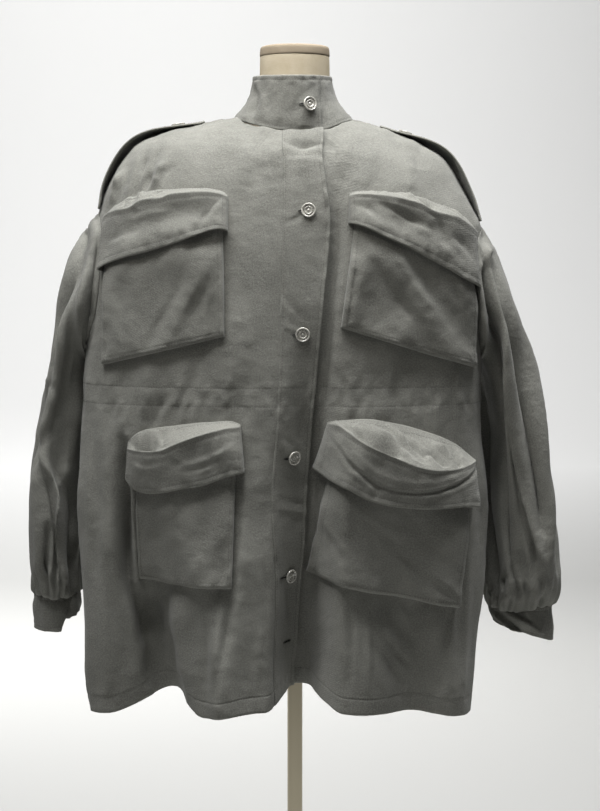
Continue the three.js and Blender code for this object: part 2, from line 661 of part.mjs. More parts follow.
// A point of a pocket's bag, inset from the outer face by so much on every side
function bagPoint(pocket, share, row, inset) {
  const down = 1 - (1 - row) ** 1.35;
  const outer = mix(pocket.outer, pocket.outerFoot, down) - inset;
  const inner = mix(pocket.inner, pocket.innerFoot, down) + inset;
  const mouth = mix(pocket.mouthOuter, pocket.mouthInner, share);
  const foot = mix(pocket.footOuter, pocket.footInner, share) + inset;
  const power = mix(2.1, 6, ease((down - 0.3) / 0.4));
  const deep = mix(pocket.mouthDepth, pocket.depth, ease((down - 0.25) / 0.5)) - inset;
  const close = (1 - down ** 9) ** (1 / 4);
  const x = pocket.side * mix(outer, inner, share);
  const on = layOn(panelOf(pocket.side), x, mix(mouth, foot, down));
  return moved(on.point, on.way, LAID_GAP + deep * bow(share, power) * close);
}

// The same for a pocket's flap: row 0 is its seam, row 1 its lid's edge and row 2 its band's foot
function flapPoint(pocket, share, row, inset) {
  const lid = Math.min(1, row);
  const band = Math.max(0, row - 1);
  const outer = pocket.lidOuter - inset;
  const inner = pocket.lidInner + inset - pocket.spread * band;
  const x = pocket.side * mix(outer, inner, share);
  const seam = mix(pocket.lidOuterZ, pocket.lidInnerZ, share) + pocket.arc * bow(share, 1.5);
  const drop = mix(3, pocket.lidDrop, bow(share, 1.8)) * lid;
  const hang = mix(pocket.bandOuter, pocket.bandInner, share) + 0.5 * pocket.arc * bow(share, 2);
  const deep = mix(pocket.flapDepth * lid ** 0.85, pocket.footDepth, band) - inset * lid;
  const on = layOn(panelOf(pocket.side), x, seam - drop - hang * band - inset * (1 - band));
  return moved(on.point, on.way, LAID_GAP + deep * bow(share, mix(2, 3.2, band)));
}

// Adds a wall whose two faces come from pointAt, for rows and shares, and which lies on a panel
function addLaid(name, side, rows, shares, pointAt, edgeCells) {
  const gridOf = (inset) => rows.map((row) => shares.map((share) => pointAt(share, row, inset)));
  const faces = [gridOf(0), gridOf(CLOTH)];
  seatEdges(panelOf(side), faces, edgeCells);
  addWall(name, faces[0], faces[1], false, TWILL);
}

// The cells along one end of a grid, its first or last row, and back along its other end
function edgeOf(rowOrder, crossRow, columns) {
  const down = rowOrder.map((r) => [r, 0]);
  const across = Array.from({ length: columns + 1 }, (_, c) => [crossRow, c]);
  const up = [...rowOrder].reverse().map((r) => [r, columns]);
  return [...down, ...across, ...up];
}

function addBag(pocket) {
  const rows = Array.from({ length: BAG_ROWS + 1 }, (_, r) => r / BAG_ROWS);
  const edge = edgeOf(rows.slice(0, -1).map((_, r) => r), BAG_ROWS, BAG_COLUMNS);
  const pointAt = (share, row, inset) => bagPoint(pocket, share, row, inset);
  addLaid(`${pocket.name}_bag`, pocket.side, rows, gussetShares(BAG_COLUMNS), pointAt, edge);
}

function addFlap(pocket) {
  const rows = [];
  for (let r = 0; r <= FLAP_LID_ROWS; r += 1) {
    rows.push(r / FLAP_LID_ROWS);
  }
  for (let r = 1; r <= FLAP_BAND_ROWS; r += 1) {
    rows.push(1 + r / FLAP_BAND_ROWS);
  }
  const upward = rows.slice(1).map((_, r) => r + 1).reverse();
  const pointAt = (share, row, inset) => flapPoint(pocket, share, row, inset);
  const edge = edgeOf(upward, 0, FLAP_COLUMNS);
  addLaid(`${pocket.name}_flap`, pocket.side, rows, gussetShares(FLAP_COLUMNS), pointAt, edge);
}

for (const pocket of POCKETS) {
  addBag(pocket);
  addFlap(pocket);
}

// Sleeves
// The armhole's edge from the shoulder point over the front, the underarm and the back
function armholeLoop(side) {
  const front = side < 0 ? rightFront : leftFront;
  const firstRow = 2 * UNDERARM;
  const frontColumn = side < 0 ? 0 : FRONT_COLUMNS;
  const backColumn = side < 0 ? 0 : BACK_COLUMNS;
  const cell = (panel, r, c) => ({ point: panel.points[r][c], normal: panel.normals[r][c] });
  const edge = [{ point: bodyPoint(side, POINT), normal: bodyNormal(side, POINT) }];
  for (let i = ARM_STEPS - 1; i > 0; i -= 1) {
    edge.push(cell(front, firstRow + i, frontColumn));
  }
  edge.push({ point: bodyPoint(side, UNDERARM), normal: bodyNormal(side, UNDERARM) });
  for (let i = 1; i < ARM_STEPS; i += 1) {
    edge.push(cell(back, firstRow + i, backColumn));
  }
  const middle = edge.reduce((sum, { point }) => sum.add(point), vec(0, 0, 0)).divideScalar(edge.length);
  edge.forEach((place, i) => {
    const before = edge[(i + edge.length - 1) % edge.length].point;
    const after = edge[(i + 1) % edge.length].point;
    place.out = after.clone().sub(before).cross(place.normal).normalize();
    if (place.out.dot(middle.clone().sub(place.point)) < 0) {
      place.out.negate();
    }
  });
  return edge;
}

function bodySideReach(side, y, z) {
  let low = 0;
  let high = NECK;
  const key = side < 0 ? 'zRight' : 'zLeft';
  for (let i = 0; i < 30; i += 1) {
    const middle = (low + high) / 2;
    if (column(BODY_LEVELS, key, middle) < z) {
      low = middle;
    } else {
      high = middle;
    }
  }
  const sideY = column(BODY_LEVELS, 'sideY', low);
  const reach = column(BODY_LEVELS, side < 0 ? 'right' : 'left', low);
  const depth = y < sideY
    ? column(BODY_LEVELS, 'front', low) + sideY
    : column(BODY_LEVELS, 'back', low) - sideY;
  const power = column(BODY_LEVELS, 'round', low);
  const share = Math.abs(y - sideY) / depth;
  return share >= 1 ? 0 : reach * (1 - share ** power) ** (1 / power);
}

function sleeveFold(degrees, z) {
  let push = 0;
  for (const fold of SLEEVE_FOLDS) {
    const rise = clamp((z - fold.foot) / (fold.top - fold.foot), 0, 1);
    const at = fold.around + fold.turn * rise;
    const distance = ((degrees - at + 540) % 360) - 180;
    push += fold.depth * Math.sin(Math.PI * Math.sqrt(rise * 0.98 + 0.01)) * bell(distance / fold.width);
  }
  return push;
}

function ovalPoint(ring, side, degrees) {
  const turn = THREE.MathUtils.degToRad(degrees);
  const outward = (1 + Math.cos(turn)) / 2;
  const middleY = (ring.front + ring.back) / 2;
  const halfY = (ring.back - ring.front) / 2;
  const x = side * mix(ring.inner, ring.outer, outward);
  const z = mix(ring.zInner, ring.zOuter, outward);
  return vec(x, middleY - halfY * Math.sin(turn), z);
}

function cuffRing(side) {
  const cuff = side < 0 ? CUFFS.right : CUFFS.left;
  return {
    zOuter: cuff.z + 1.4 * SEAM_GAP, zInner: cuff.z + 1.4 * SEAM_GAP, outer: cuff.outer, inner: cuff.inner,
    front: cuff.front, back: cuff.back,
  };
}

function addSleeve(side) {
  const name = side < 0 ? 'right' : 'left';
  const rings = side < 0 ? RIGHT_SLEEVE_RINGS : LEFT_SLEEVE_RINGS;
  const loop = armholeLoop(side);
  const outer = [];
  const count = SLEEVE_POINTS;
  const seam = [];
  for (let i = 0; i < count; i += 1) {
    const a = loop[Math.floor(i / 2)];
    const b = loop[Math.ceil(i / 2) % loop.length];
    const share = (i % 2) / 2;
    seam.push({
      point: a.point.clone().lerp(b.point, share),
      out: a.out.clone().lerp(b.out, share).normalize(),
      normal: a.normal.clone().lerp(b.normal, share).normalize(),
    });
  }
  const away = seam.map(({ point }, i) => point.clone().sub(ovalPoint(rings[0], side, (360 * i) / count)));
  const tipZ = loop[0].point.z;
  const pitZ = loop[ARM_STEPS].point.z;
  const clear = (point) => {
    const height = clamp((point.z - pitZ) / (tipZ - pitZ), 0, 1);
    const hollow = Math.sqrt(1 - (2 * height - 1) ** 2);
    const fromSide = point.y - loop[ARM_STEPS].point.y;
    const ahead = -fromSide - ARMHOLE_FRONT * hollow;
    const behind = fromSide - ARMHOLE_BACK * hollow;
    const beyond = Math.max(ahead, behind, pitZ - point.z);
    if (beyond > -SLEEVE_NEAR && height < 0.8) {
      const room = mix(0.4 * SLEEVE_CLEAR, SLEEVE_CLEAR, clamp(beyond / SLEEVE_NEAR, 0, 1));
      const reach = bodySideReach(side, point.y, point.z) + room;
      point.x = side * Math.max(side * point.x, reach);
    }
    return point;
  };
  const ringAt = (at) => {
    const ring = {};
    for (const key of ['zOuter', 'zInner', 'outer', 'inner', 'front', 'back']) {
      ring[key] = column(rings, key, at);
    }
    const middle = vec(side * (ring.outer + ring.inner) / 2, (ring.front + ring.back) / 2, 0);
    const row = [];
    for (let i = 0; i < count; i += 1) {
      const degrees = (360 * i) / count;
      const point = ovalPoint(ring, side, degrees);
      point.addScaledVector(away[i], 1 - ease(at / 3));
      const out = vec(point.x - middle.x, point.y - middle.y, 0).normalize();
      point.addScaledVector(out, sleeveFold(degrees, point.z));
      row.push(clear(point));
    }
    return row;
  };
  const lastRing = rings.length - 1;
  const second = ringAt(0.6);
  // First ring: the armhole's edge. The wall's thickness turns with the way that the sleeve leaves.
  const first = [];
  const firstIn = [];
  seam.forEach(({ point, out, normal }, i) => {
    const leaving = second[i].clone().sub(point);
    const inward = normal.clone().multiplyScalar(-leaving.dot(out));
    inward.addScaledVector(out, leaving.dot(normal)).normalize();
    first.push(point.clone().addScaledVector(out, ARMHOLE_GAP).addScaledVector(inward, ARMHOLE_GAP));
    firstIn.push(moved(first[i], inward, CLOTH));
  });
  outer.push(first);
  outer.push(second);
  for (let k = 1; k < lastRing; k += 1) {
    outer.push(ringAt(k));
  }
  // Gathers, growing down to the seam of the cuff
  const end = cuffRing(side);
  for (let k = 0; k <= GATHER_ROWS; k += 1) {
    const share = k / GATHER_ROWS;
    const ring = {};
    for (const key of ['zOuter', 'zInner', 'outer', 'inner', 'front', 'back']) {
      const tuck = key.startsWith('z') ? share : share ** 2.2;
      ring[key] = mix(rings[lastRing][key], end[key], tuck);
    }
    const row = [];
    for (let i = 0; i < 2 * count; i += 1) {
      const degrees = (180 * i) / count;
      const point = ovalPoint(ring, side, degrees);
      const middle = vec(side * (ring.outer + ring.inner) / 2, (ring.front + ring.back) / 2, point.z);
      const out = point.clone().sub(middle).normalize();
      const phase = i % 4 === 0 ? 1 : i % 4 === 2 ? -1 : 0;
      const uneven = 1 + 0.3 * Math.sin(1.7 * i + side);
      const fold = sleeveFold(degrees, point.z) * (1 - share);
      point.addScaledVector(out, fold + GATHER_DEPTH * uneven * phase * ease(0.1 + share * 1.1));
      row.push(clear(point));
    }
    outer.push(row);
  }
  const normals = gridNormals(outer, true, 1);
  const middleOf = (row) => row.reduce((sum, p) => sum.add(p), vec(0, 0, 0)).divideScalar(row.length);
  const inner = outer.map((row, r) => {
    const middle = middleOf(row);
    return row.map((point, c) => {
      const normal = normals[r][c];
      const facing = point.clone().sub(middle).dot(normal) < 0 ? -1 : 1;
      return moved(point, normal, -CLOTH * facing);
    });
  });
  inner[0] = firstIn;
  addWall(`${name}_sleeve`, outer, inner, true, TWILL);
}

function addCuff(side) {
  const name = side < 0 ? 'right' : 'left';
  const cuff = CUFFS[name];
  const outer = [];
  for (let r = 0; r <= CUFF_ROWS; r += 1) {
    const share = r / CUFF_ROWS;
    const ring = {
      zOuter: cuff.z - share * (cuff.height + cuff.tilt / 2),
      zInner: cuff.z - share * (cuff.height - cuff.tilt / 2),
      outer: cuff.outer + cuff.flare * share,
      inner: cuff.inner + cuff.flare * share * 2,
      front: cuff.front - 2 * share, back: cuff.back - 2 * share,
    };
    const row = [];
    for (let i = 0; i < SLEEVE_POINTS; i += 1) {
      row.push(ovalPoint(ring, side, (360 * i) / SLEEVE_POINTS));
    }
    outer.push(row);
  }
  const normals = gridNormals(outer, true, side < 0 ? -1 : 1);
  const inner = outer.map((row, r) => {
    const middleX = row.reduce((sum, p) => sum + p.x, 0) / row.length;
    const middleY = row.reduce((sum, p) => sum + p.y, 0) / row.length;
    return row.map((point, c) => {
      const normal = normals[r][c];
      const facing = (point.x - middleX) * normal.x + (point.y - middleY) * normal.y < 0 ? -1 : 1;
      normal.z = 0;
      normal.normalize();
      return moved(point, normal, -CLOTH * facing);
    });
  });
  addWall(`${name}_cuff`, outer, inner, true, TWILL);
}

for (const side of [-1, 1]) {
  addSleeve(side);
  addCuff(side);
}

// Collar: round from its inner end on the left front, behind the neck, to its outer end
function collarPoint(share, up) {
  const startRound = shareAtX(COLLAR_UNDER_END, NECK);
  const endRound = shareAtX(COLLAR_END, NECK);
  const travelled = mix(startRound, 4 + endRound, share);
  const round = travelled <= 2 ? travelled : travelled - 4;
  const base = bodyPoint(round, NECK);
  const baseOut = bodyNormal(round, NECK);
  const lap = COLLAR_LAP_DROP * (1 - ease((travelled - endRound) * 3.2));
  const turn = (round * Math.PI) / 2;
  const middleX = -5;
  const reachX = Math.sin(turn) < 0 ? COLLAR_REACH.right : COLLAR_REACH.left;
  const reachY = Math.cos(turn) > 0 ? COLLAR_REACH.front : COLLAR_REACH.back;
  const around = Math.atan2((base.x - middleX) / 84, -(base.y + 12) / 78);
  const topX = middleX + reachX * Math.sin(around);
  const topY = -reachY * Math.cos(around) - 2;
  const front = Math.max(0, Math.cos(around));
  const rear = Math.max(0, -Math.cos(around));
  const sideZ = Math.sin(around) < 0 ? COLLAR_TOP.right : COLLAR_TOP.left;
  let topZ = sideZ;
  topZ = mix(topZ, COLLAR_TOP.front, front ** 2);
  topZ = mix(topZ, COLLAR_TOP.back, rear ** 2);
  const flat = vec(Math.sin(around), -Math.cos(around), 0);
  const foot = moved(base, vec(0, 0, 1), 2.3 * SEAM_GAP);
  const rise = ease(up * 0.9) * 0.35 + 0.65 * up;
  const point = vec(
    mix(foot.x, topX, Math.sin((rise * Math.PI) / 2) ** 1.1 * 0.9 + 0.1 * rise),
    mix(foot.y, topY, Math.sin((rise * Math.PI) / 2) ** 1.1 * 0.9 + 0.1 * rise),
    mix(foot.z, topZ, up),
  );
  const outward = baseOut.clone().lerp(flat, ease(up * 4)).normalize();
  return moved(point, outward, -lap);
}
const collar = [];
for (let r = 0; r <= COLLAR_ROWS; r += 1) {
  const row = [];
  for (let c = 0; c <= COLLAR_COLUMNS; c += 1) {
    row.push(collarPoint(c / COLLAR_COLUMNS, r / COLLAR_ROWS));
  }
  collar.push(row);
}
const collarNormals = gridNormals(collar, false, 1);
addWall('collar', collar, insideOf(collar, collarNormals, CLOTH), false, TWILL);

// The highest place of the body's facets over a point of the floor
function topAt(x, y) {
  let best = -Infinity;
  for (const { points } of [rightFront, leftFront, back]) {
    for (let r = 0; r + 1 < points.length; r += 1) {
      for (let c = 0; c + 1 < points[r].length; c += 1) {
        const cell = [points[r][c], points[r][c + 1], points[r + 1][c + 1], points[r + 1][c]];
        for (const [a, b, d] of [[cell[0], cell[1], cell[2]], [cell[0], cell[2], cell[3]]]) {
          const area = (b.x - a.x) * (d.y - a.y) - (d.x - a.x) * (b.y - a.y);
          const v = ((x - a.x) * (d.y - a.y) - (d.x - a.x) * (y - a.y)) / area;
          const w = ((b.x - a.x) * (y - a.y) - (x - a.x) * (b.y - a.y)) / area;
          if (v >= -1e-6 && w >= -1e-6 && v + w <= 1 + 1e-6) {
            best = Math.max(best, a.z + v * (b.z - a.z) + w * (d.z - a.z));
          }
        }
      }
    }
  }
  return best;
}

// Shoulder straps: sewn in at the shoulder point, bowed clear of the shoulder, buttoned by the neck
function addStrap(side) {
  const name = side < 0 ? 'right' : 'left';
  const outer = [];
  const rest = CLOTH + 1.1 * LAID_GAP;
  for (let c = 0; c <= STRAP.columns; c += 1) {
    const share = c / STRAP.columns;
    const level = mix(STRAP.from, STRAP.to, share);
    const seam = bodyPoint(side, level);
    const out = bodyNormal(side, level);
    out.y = 0;
    out.normalize();
    const hump = STRAP.lift * bell(2 * (share - 0.46)) ** 0.7;
    const tip = share > 0.9 ? 1 - 0.32 * ((share - 0.9) / 0.1) ** 2 : 1;
    const row = [];
    for (let i = 0; i <= STRAP_STRIPS; i += 1) {
      const across = (i / STRAP_STRIPS) * 2 - 1;
      const y = seam.y + STRAP.shiftY + across * (STRAP.width / 2) * tip;
      const bowed = moved(seam, out, rest + hump * (1 - 0.12 * across) - 1.2 * across ** 2);
      const under = topAt(bowed.x, y);
      const z = Math.max(bowed.z, under + rest);
      row.push(vec(bowed.x, y, z));
    }
    outer.push(row);
  }
  const normals = gridNormals(outer, false, side);
  const up = normals.map((row) => row.map((n) => (n.z + 0.3 * side * n.x < 0 ? n.clone().negate() : n)));
  addWall(`shoulder_strap_${name}`, outer, insideOf(outer, up, CLOTH), false, TWILL);
  return { points: outer, normals: up };
}
const straps = { right: addStrap(-1), left: addStrap(1) };

// Buttons with a raised rim, turned about their own axis
function addButton(name, seat, direction) {
  const { radius, thick, rim, dish, sides } = BUTTON;
  const profile = [
    [0, 0], [radius * 0.8, 0], [radius, thick * 0.3], [radius, thick * 0.7],
    [radius - 0.5 * rim, thick], [radius - rim, thick - 0.3],
    [radius - 1.6 * rim, thick - dish], [0, thick - dish],
  ].map(([r, z]) => new THREE.Vector2(r, z));
  const geometry = new THREE.LatheGeometry(profile, sides);
  geometry.rotateX(Math.PI / 2);
  geometry.deleteAttribute('uv');
  geometry.deleteAttribute('normal');
  const turn = new THREE.Quaternion().setFromUnitVectors(vec(0, 0, 1), direction.clone().normalize());
  geometry.applyQuaternion(turn);
  geometry.translate(seat.x, seat.y, seat.z);
  const merged = mergeVertices(geometry, 1e-4);
  addPiece(name, Array.from(merged.attributes.position.array), cleanIndices(merged), PEARL);
}

// A lathe's ends leave triangles without area on the axis
function cleanIndices(geometry) {
  const kept = [];
  const all = geometry.index.array;
  for (let i = 0; i < all.length; i += 3) {
    const [a, b, c] = [all[i], all[i + 1], all[i + 2]];
    if (a !== b && b !== c && c !== a) {
      kept.push(a, b, c);
    }
  }
  return kept;
}

// Seats a button square on a panel, just clear of the highest facet under it
function seatButton(name, panel, x, z) {
  const on = layOn(panel, x, z);
  const spin = new THREE.Quaternion().setFromUnitVectors(vec(0, 0, 1), on.normal);
  let high = 0;
  for (let i = 0; i < BUTTON.sides; i += 1) {
    const turn = (2 * Math.PI * i) / BUTTON.sides;
    for (const reach of [0.5, 1]) {
      const radius = BUTTON.radius * reach;
      const point = vec(radius * Math.cos(turn), radius * Math.sin(turn), 0);
      point.applyQuaternion(spin).add(on.point);
      const under = layOn(panel, point.x, point.z);
      high = Math.max(high, under.point.clone().sub(on.point).dot(on.normal));
    }
  }
  addButton(name, moved(on.point, on.normal, high + BUTTON_LIFT), on.normal);
}

const stripPanel = {
  points: stripGrid(SEAM_GAP + CLOTH),
  normals: rightFront.normals.map((row) => row.slice(stripFrom)),
};
FRONT_BUTTON_PLACES.forEach(({ x, z }, i) => seatButton(`front_button_${i + 1}`, stripPanel, x, z));
seatButton('collar_button', { points: collar, normals: collarNormals }, COLLAR_BUTTON.x, COLLAR_BUTTON.z);
for (const name of ['right', 'left']) {
  const strap = straps[name];
  const row = strap.points.length - 3;
  const middle = STRAP_STRIPS / 2;
  const normal = strap.normals[row][middle];
  addButton(`strap_button_${name}`, moved(strap.points[row][middle], normal, BUTTON_LIFT), normal);
}

// Dress form and stand
function addRings(name, rings, finish) {
  const positions = [];
  const indices = [];
  const sides = rings[0].length;
  rings.forEach((ring) => ring.forEach((p) => positions.push(p.x, p.y, p.z)));
  const middle = (ring) => ring.reduce((sum, p) => sum.add(p), vec(0, 0, 0)).divideScalar(sides);
  const low = middle(rings[0]);
  const high = middle(rings[rings.length - 1]);
  positions.push(low.x, low.y, low.z, high.x, high.y, high.z);
  const lowIndex = rings.length * sides;
  for (let i = 0; i < sides; i += 1) {
    const next = (i + 1) % sides;
    for (let r = 0; r + 1 < rings.length; r += 1) {
      const a = r * sides;
      const b = a + sides;
      indices.push(a + i, a + next, b + next);
      indices.push(a + i, b + next, b + i);
    }
    const top = (rings.length - 1) * sides;
    indices.push(lowIndex, next, i);
    indices.push(lowIndex + 1, top + i, top + next);
  }
  addPiece(name, positions, indices, finish);
}

function formRing({ z, wide, front, back: rear }) {
  const ring = [];
  for (let i = 0; i < FORM_SIDES; i += 1) {
    const turn = (2 * Math.PI * i) / FORM_SIDES;
    const y = Math.sin(turn);
    ring.push(vec(FORM_X + wide * Math.cos(turn), y * (y < 0 ? front : rear), z));
  }
  return ring;
}
const formRings = [];
for (const row of FORM_LEVELS) {
  formRings.push(formRing(row));
}
addRings('dress_form', formRings, JERSEY);

const capRings = [
  formRing({ ...CAP, z: CAP.z }),
  formRing({ ...CAP, z: CAP.z + CAP.height - CAP.round }),
  formRing({
    z: CAP.z + CAP.height,
    wide: CAP.wide - CAP.round,
    front: CAP.front - CAP.round,
    back: CAP.back - CAP.round,
  }),
];
addRings('neck_cap', capRings, CAP_CLOTH);

function addTurned(name, profile, sides, finish) {
  const geometry = new THREE.LatheGeometry(profile.map(([r, z]) => new THREE.Vector2(r, z)), sides);
  geometry.rotateX(Math.PI / 2);
  geometry.deleteAttribute('uv');
  geometry.deleteAttribute('normal');
  const merged = mergeVertices(geometry, 1e-4);
  addPiece(name, Array.from(merged.attributes.position.array), cleanIndices(merged), finish);
}
const poleFoot = BASE.thick + BASE.crown;
addTurned('stand_pole', [
  [0, poleFoot + SEAM_GAP], [POLE_RADIUS, poleFoot + SEAM_GAP],
  [POLE_RADIUS, FORM_LEVELS[0].z - SEAM_GAP], [0, FORM_LEVELS[0].z - SEAM_GAP],
], POLE_SIDES, CHROME);
addTurned('stand_base', [
  [0, 0], [BASE.radius, 0], [BASE.radius, BASE.thick], [BASE.radius * 0.93, BASE.thick + 3],
  [BASE.radius * 0.5, BASE.thick + BASE.crown * 0.7], [BASE.hub + 6, poleFoot - 1],
  [BASE.hub, poleFoot], [0, poleFoot],
], BASE.sides, LACQUER);

export default jacket;
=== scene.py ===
import math

import bpy
import numpy as np
from mathutils.bvhtree import BVHTree
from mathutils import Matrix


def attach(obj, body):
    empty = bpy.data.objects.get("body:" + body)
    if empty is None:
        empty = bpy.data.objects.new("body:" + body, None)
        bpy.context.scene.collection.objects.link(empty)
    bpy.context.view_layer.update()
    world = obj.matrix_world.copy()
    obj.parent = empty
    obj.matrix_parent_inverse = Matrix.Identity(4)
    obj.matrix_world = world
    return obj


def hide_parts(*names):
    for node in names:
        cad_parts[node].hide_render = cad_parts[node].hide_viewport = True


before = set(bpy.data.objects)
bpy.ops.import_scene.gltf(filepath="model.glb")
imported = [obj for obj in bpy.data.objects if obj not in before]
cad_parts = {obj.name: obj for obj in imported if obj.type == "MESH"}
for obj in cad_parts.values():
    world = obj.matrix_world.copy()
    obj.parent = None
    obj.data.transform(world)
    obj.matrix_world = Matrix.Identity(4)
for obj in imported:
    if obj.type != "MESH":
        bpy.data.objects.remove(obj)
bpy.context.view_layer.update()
print("frame loaded")

# Lengths are in mm up to the point where a mesh is made. x runs to the wearer's left, the
# front faces -y and z is the height over the floor.
mm = 0.001
seamGap = 0.3
laidGap = 0.6
clothWall = 1.3
stitchGroove = 2.4
# cosines in one field of waves, and the fineness of the body's measured quarters
waveCount = 20
levelCount, roundCount = 361, 241


def mix(a, b, share):
    return a + (b - a) * share


def ease(value):
    s = np.clip(value, 0, 1)
    return s * s * (3 - 2 * s)


def bell(distance):
    return 0.5 + 0.5 * np.cos(math.pi * np.clip(distance, -1, 1))


def unit(vectors):
    return vectors / np.maximum(np.linalg.norm(vectors, axis=-1, keepdims=True), 1e-9)


def bow(share, power):
    # 0 at both ends of the share and 1 in its middle, flatter as the power grows
    return np.maximum(0, 1 - np.abs(2 * share - 1) ** power) ** (1 / power)


def sideName(side):
    return "right" if side < 0 else "left"


def column(values, level):
    # a smooth value between the rows of a table's column
    values = np.asarray(values, float)
    last = len(values) - 1
    at = np.clip(level, 0, last)
    row = np.minimum(last - 1, np.floor(at)).astype(int)
    s = at - row
    longer = np.concatenate([[2 * values[0] - values[1]], values, [2 * values[-1] - values[-2]]])
    p0, p1, p2, p3 = (longer[row + i] for i in range(4))
    return p1 + 0.5 * s * (p2 - p0 + s * (2 * p0 - 5 * p1 + 4 * p2 - p3
                                         + s * (3 * p1 - p0 - 3 * p2 + p3)))


def sampled(field, rowAt, columnAt):
    # a value between the points of a grid
    rows, columns = field.shape[:2]
    rowAt = np.clip(rowAt, 0, rows - 1.0001)
    columnAt = np.clip(columnAt, 0, columns - 1.0001)
    row = np.floor(rowAt).astype(int)
    place = np.floor(columnAt).astype(int)
    down = (rowAt - row)[..., None]
    over = (columnAt - place)[..., None]
    low = mix(field[row, place], field[row, place + 1], over)
    high = mix(field[row + 1, place], field[row + 1, place + 1], over)
    return mix(low, high, down)


def waves(points, size, seed, upright=1):
    # soft seeded unevenness of about that size in mm, drawn out along z where upright is under 1
    points = points * np.append(np.ones(points.shape[-1] - 1), upright)
    source = np.random.default_rng(seed)
    ways = unit(source.normal(size=(waveCount, points.shape[-1])))
    lengths = size * source.uniform(0.7, 1.5, waveCount)
    phases = source.uniform(0, 2 * math.pi, waveCount)
    total = np.zeros(points.shape[:-1])
    for way, length, phase in zip(ways, lengths, phases):
        total += np.cos(points @ way * (2 * math.pi / length) + phase)
    return total * math.sqrt(2 / waveCount)


def lengthsAlong(grid, axis=1):
    # how far each point lies from the first one of its row (axis 1) or column (axis 0)
    steps = np.linalg.norm(np.diff(grid, axis=axis), axis=2)
    return np.insert(np.cumsum(steps, axis=axis), 0, 0, axis=axis)


def smoothLine(points, steps=6):
    # a soft line through some points, each stretch cut into that many steps
    points = np.asarray(points, float)
    at = np.linspace(0, len(points) - 1, (len(points) - 1) * steps + 1)
    return np.stack([column(points[:, k], at) for k in range(points.shape[1])], axis=-1)


creaseMargin = 3.7


def creases(places, table, seed):
    # soft troughs (depth below 0) and ridges along lines, steeper on one side, fading at the ends
    total = np.zeros(places.shape[:-1])
    source = np.random.default_rng(seed)
    for width, depth, points in table:
        line = smoothLine(points)
        steep = source.choice([0.6, 1.45])
        phase = source.uniform(0, 6)
        margin = creaseMargin * width
        near = np.all((places > line.min(0) - margin) & (places < line.max(0) + margin), axis=-1)
        spots = places[near]
        if not len(spots):
            continue
        steps = np.linalg.norm(np.diff(line, axis=0), axis=1)
        travelled = np.concatenate([[0], np.cumsum(steps)])
        best = np.full(len(spots), 1e9)
        share = np.zeros(len(spots))
        left = np.zeros(len(spots))
        for i, step in enumerate(steps):
            run = line[i + 1] - line[i]
            off = spots - line[i]
            t = np.clip(off @ run / step**2, 0, 1)
            distance = np.linalg.norm(off - t[:, None] * run, axis=1)
            closer = distance < best
            best[closer] = distance[closer]
            share[closer] = ((travelled[i] + t * step) / travelled[-1])[closer]
            left[closer] = (off[:, 0] * run[1] - off[:, 1] * run[0])[closer]
        reach = width * np.where(left > 0, steep, 2.05 - steep)
        fade = np.sin(math.pi * (0.05 + 0.9 * share)) ** 0.7
        uneven = 1 + 0.28 * np.sin(9 * share + phase)
        crest = np.exp(-(best / (0.36 * reach)) ** 1.4)
        profile = 0.68 * bell(best / reach) + 0.32 * crest - 0.25 * bell((best - 1.5 * reach) / reach)
        total[near] += depth * profile * fade * uneven
    return total


# The jacket's body, level by level from the hem to the neckline
bodyTable = {
    "zRight": [541, 640, 750, 850, 950, 1055, 1130, 1190, 1242, 1292, 1341, 1363, 1374],
    "zLeft": [537, 640, 750, 850, 950, 1050, 1120, 1176, 1225, 1276, 1325, 1353, 1372],
    "zFront": [560, 645, 750, 850, 950, 1052, 1124, 1184, 1237, 1276, 1310, 1333, 1351],
    "zBack": [548, 645, 750, 850, 950, 1055, 1130, 1194, 1247, 1288, 1328, 1357, 1384],
    "right": [293, 302, 306, 308, 305, 298, 297, 292, 281, 261, 222, 158, 90],
    "left": [247, 256, 268, 268, 257, 257, 263, 264, 259, 234, 200, 142, 78],
    "front": [136, 137, 138, 139, 140, 141, 142, 140, 135, 129, 118, 106, 95],
    "back": [122, 124, 124, 122, 118, 116, 117, 116, 110, 102, 89, 75, 62],
    "sideY": [-30, -30, -30, -30, -28, -22, -12, -4, 0, 4, 6, 8, 6],
    "power": [2.0, 2.05, 2.1, 2.15, 2.2, 2.2, 2.15, 2.1, 2.0, 1.95, 1.9, 1.9, 2.0],
    "edge": [3, 3, 5, 12, 20, 29, 35, 41, 43, 38, 33, 34, 36],
    "seam": [-27, -26, -27, -34, -28, -23, -22, -21, -19, -19, -19, -20, -20],
}
underarm, point, neck = 5, 8, 12
# along, lean, foot, top, depth, width, lift of each large fold
frontFolds = [
    (8, 14, 480, 1120, -76, 52, 20), (-64, -6, 480, 900, 9, 52, 0), (82, 8, 480, 900, 10, 56, -2),
    (-192, 40, 470, 930, -64, 72, 24), (-290, 10, 480, 1000, 12, 48, 0), (-116, 8, 480, 900, 20, 62, -4),
    (176, -60, 500, 880, -14, 52, 3), (232, -40, 480, 900, 12, 50, 0),
    (-250, 38, 1090, 1330, -6, 36, 0),
]
backFolds = [
    (0, 0, 480, 1180, -14, 74, 6), (110, -20, 480, 1080, 14, 66, -4),
    (-112, 16, 480, 1060, 16, 66, -4), (215, -30, 480, 1000, -26, 66, 12),
    (-225, 34, 480, 980, -30, 68, 14),
]
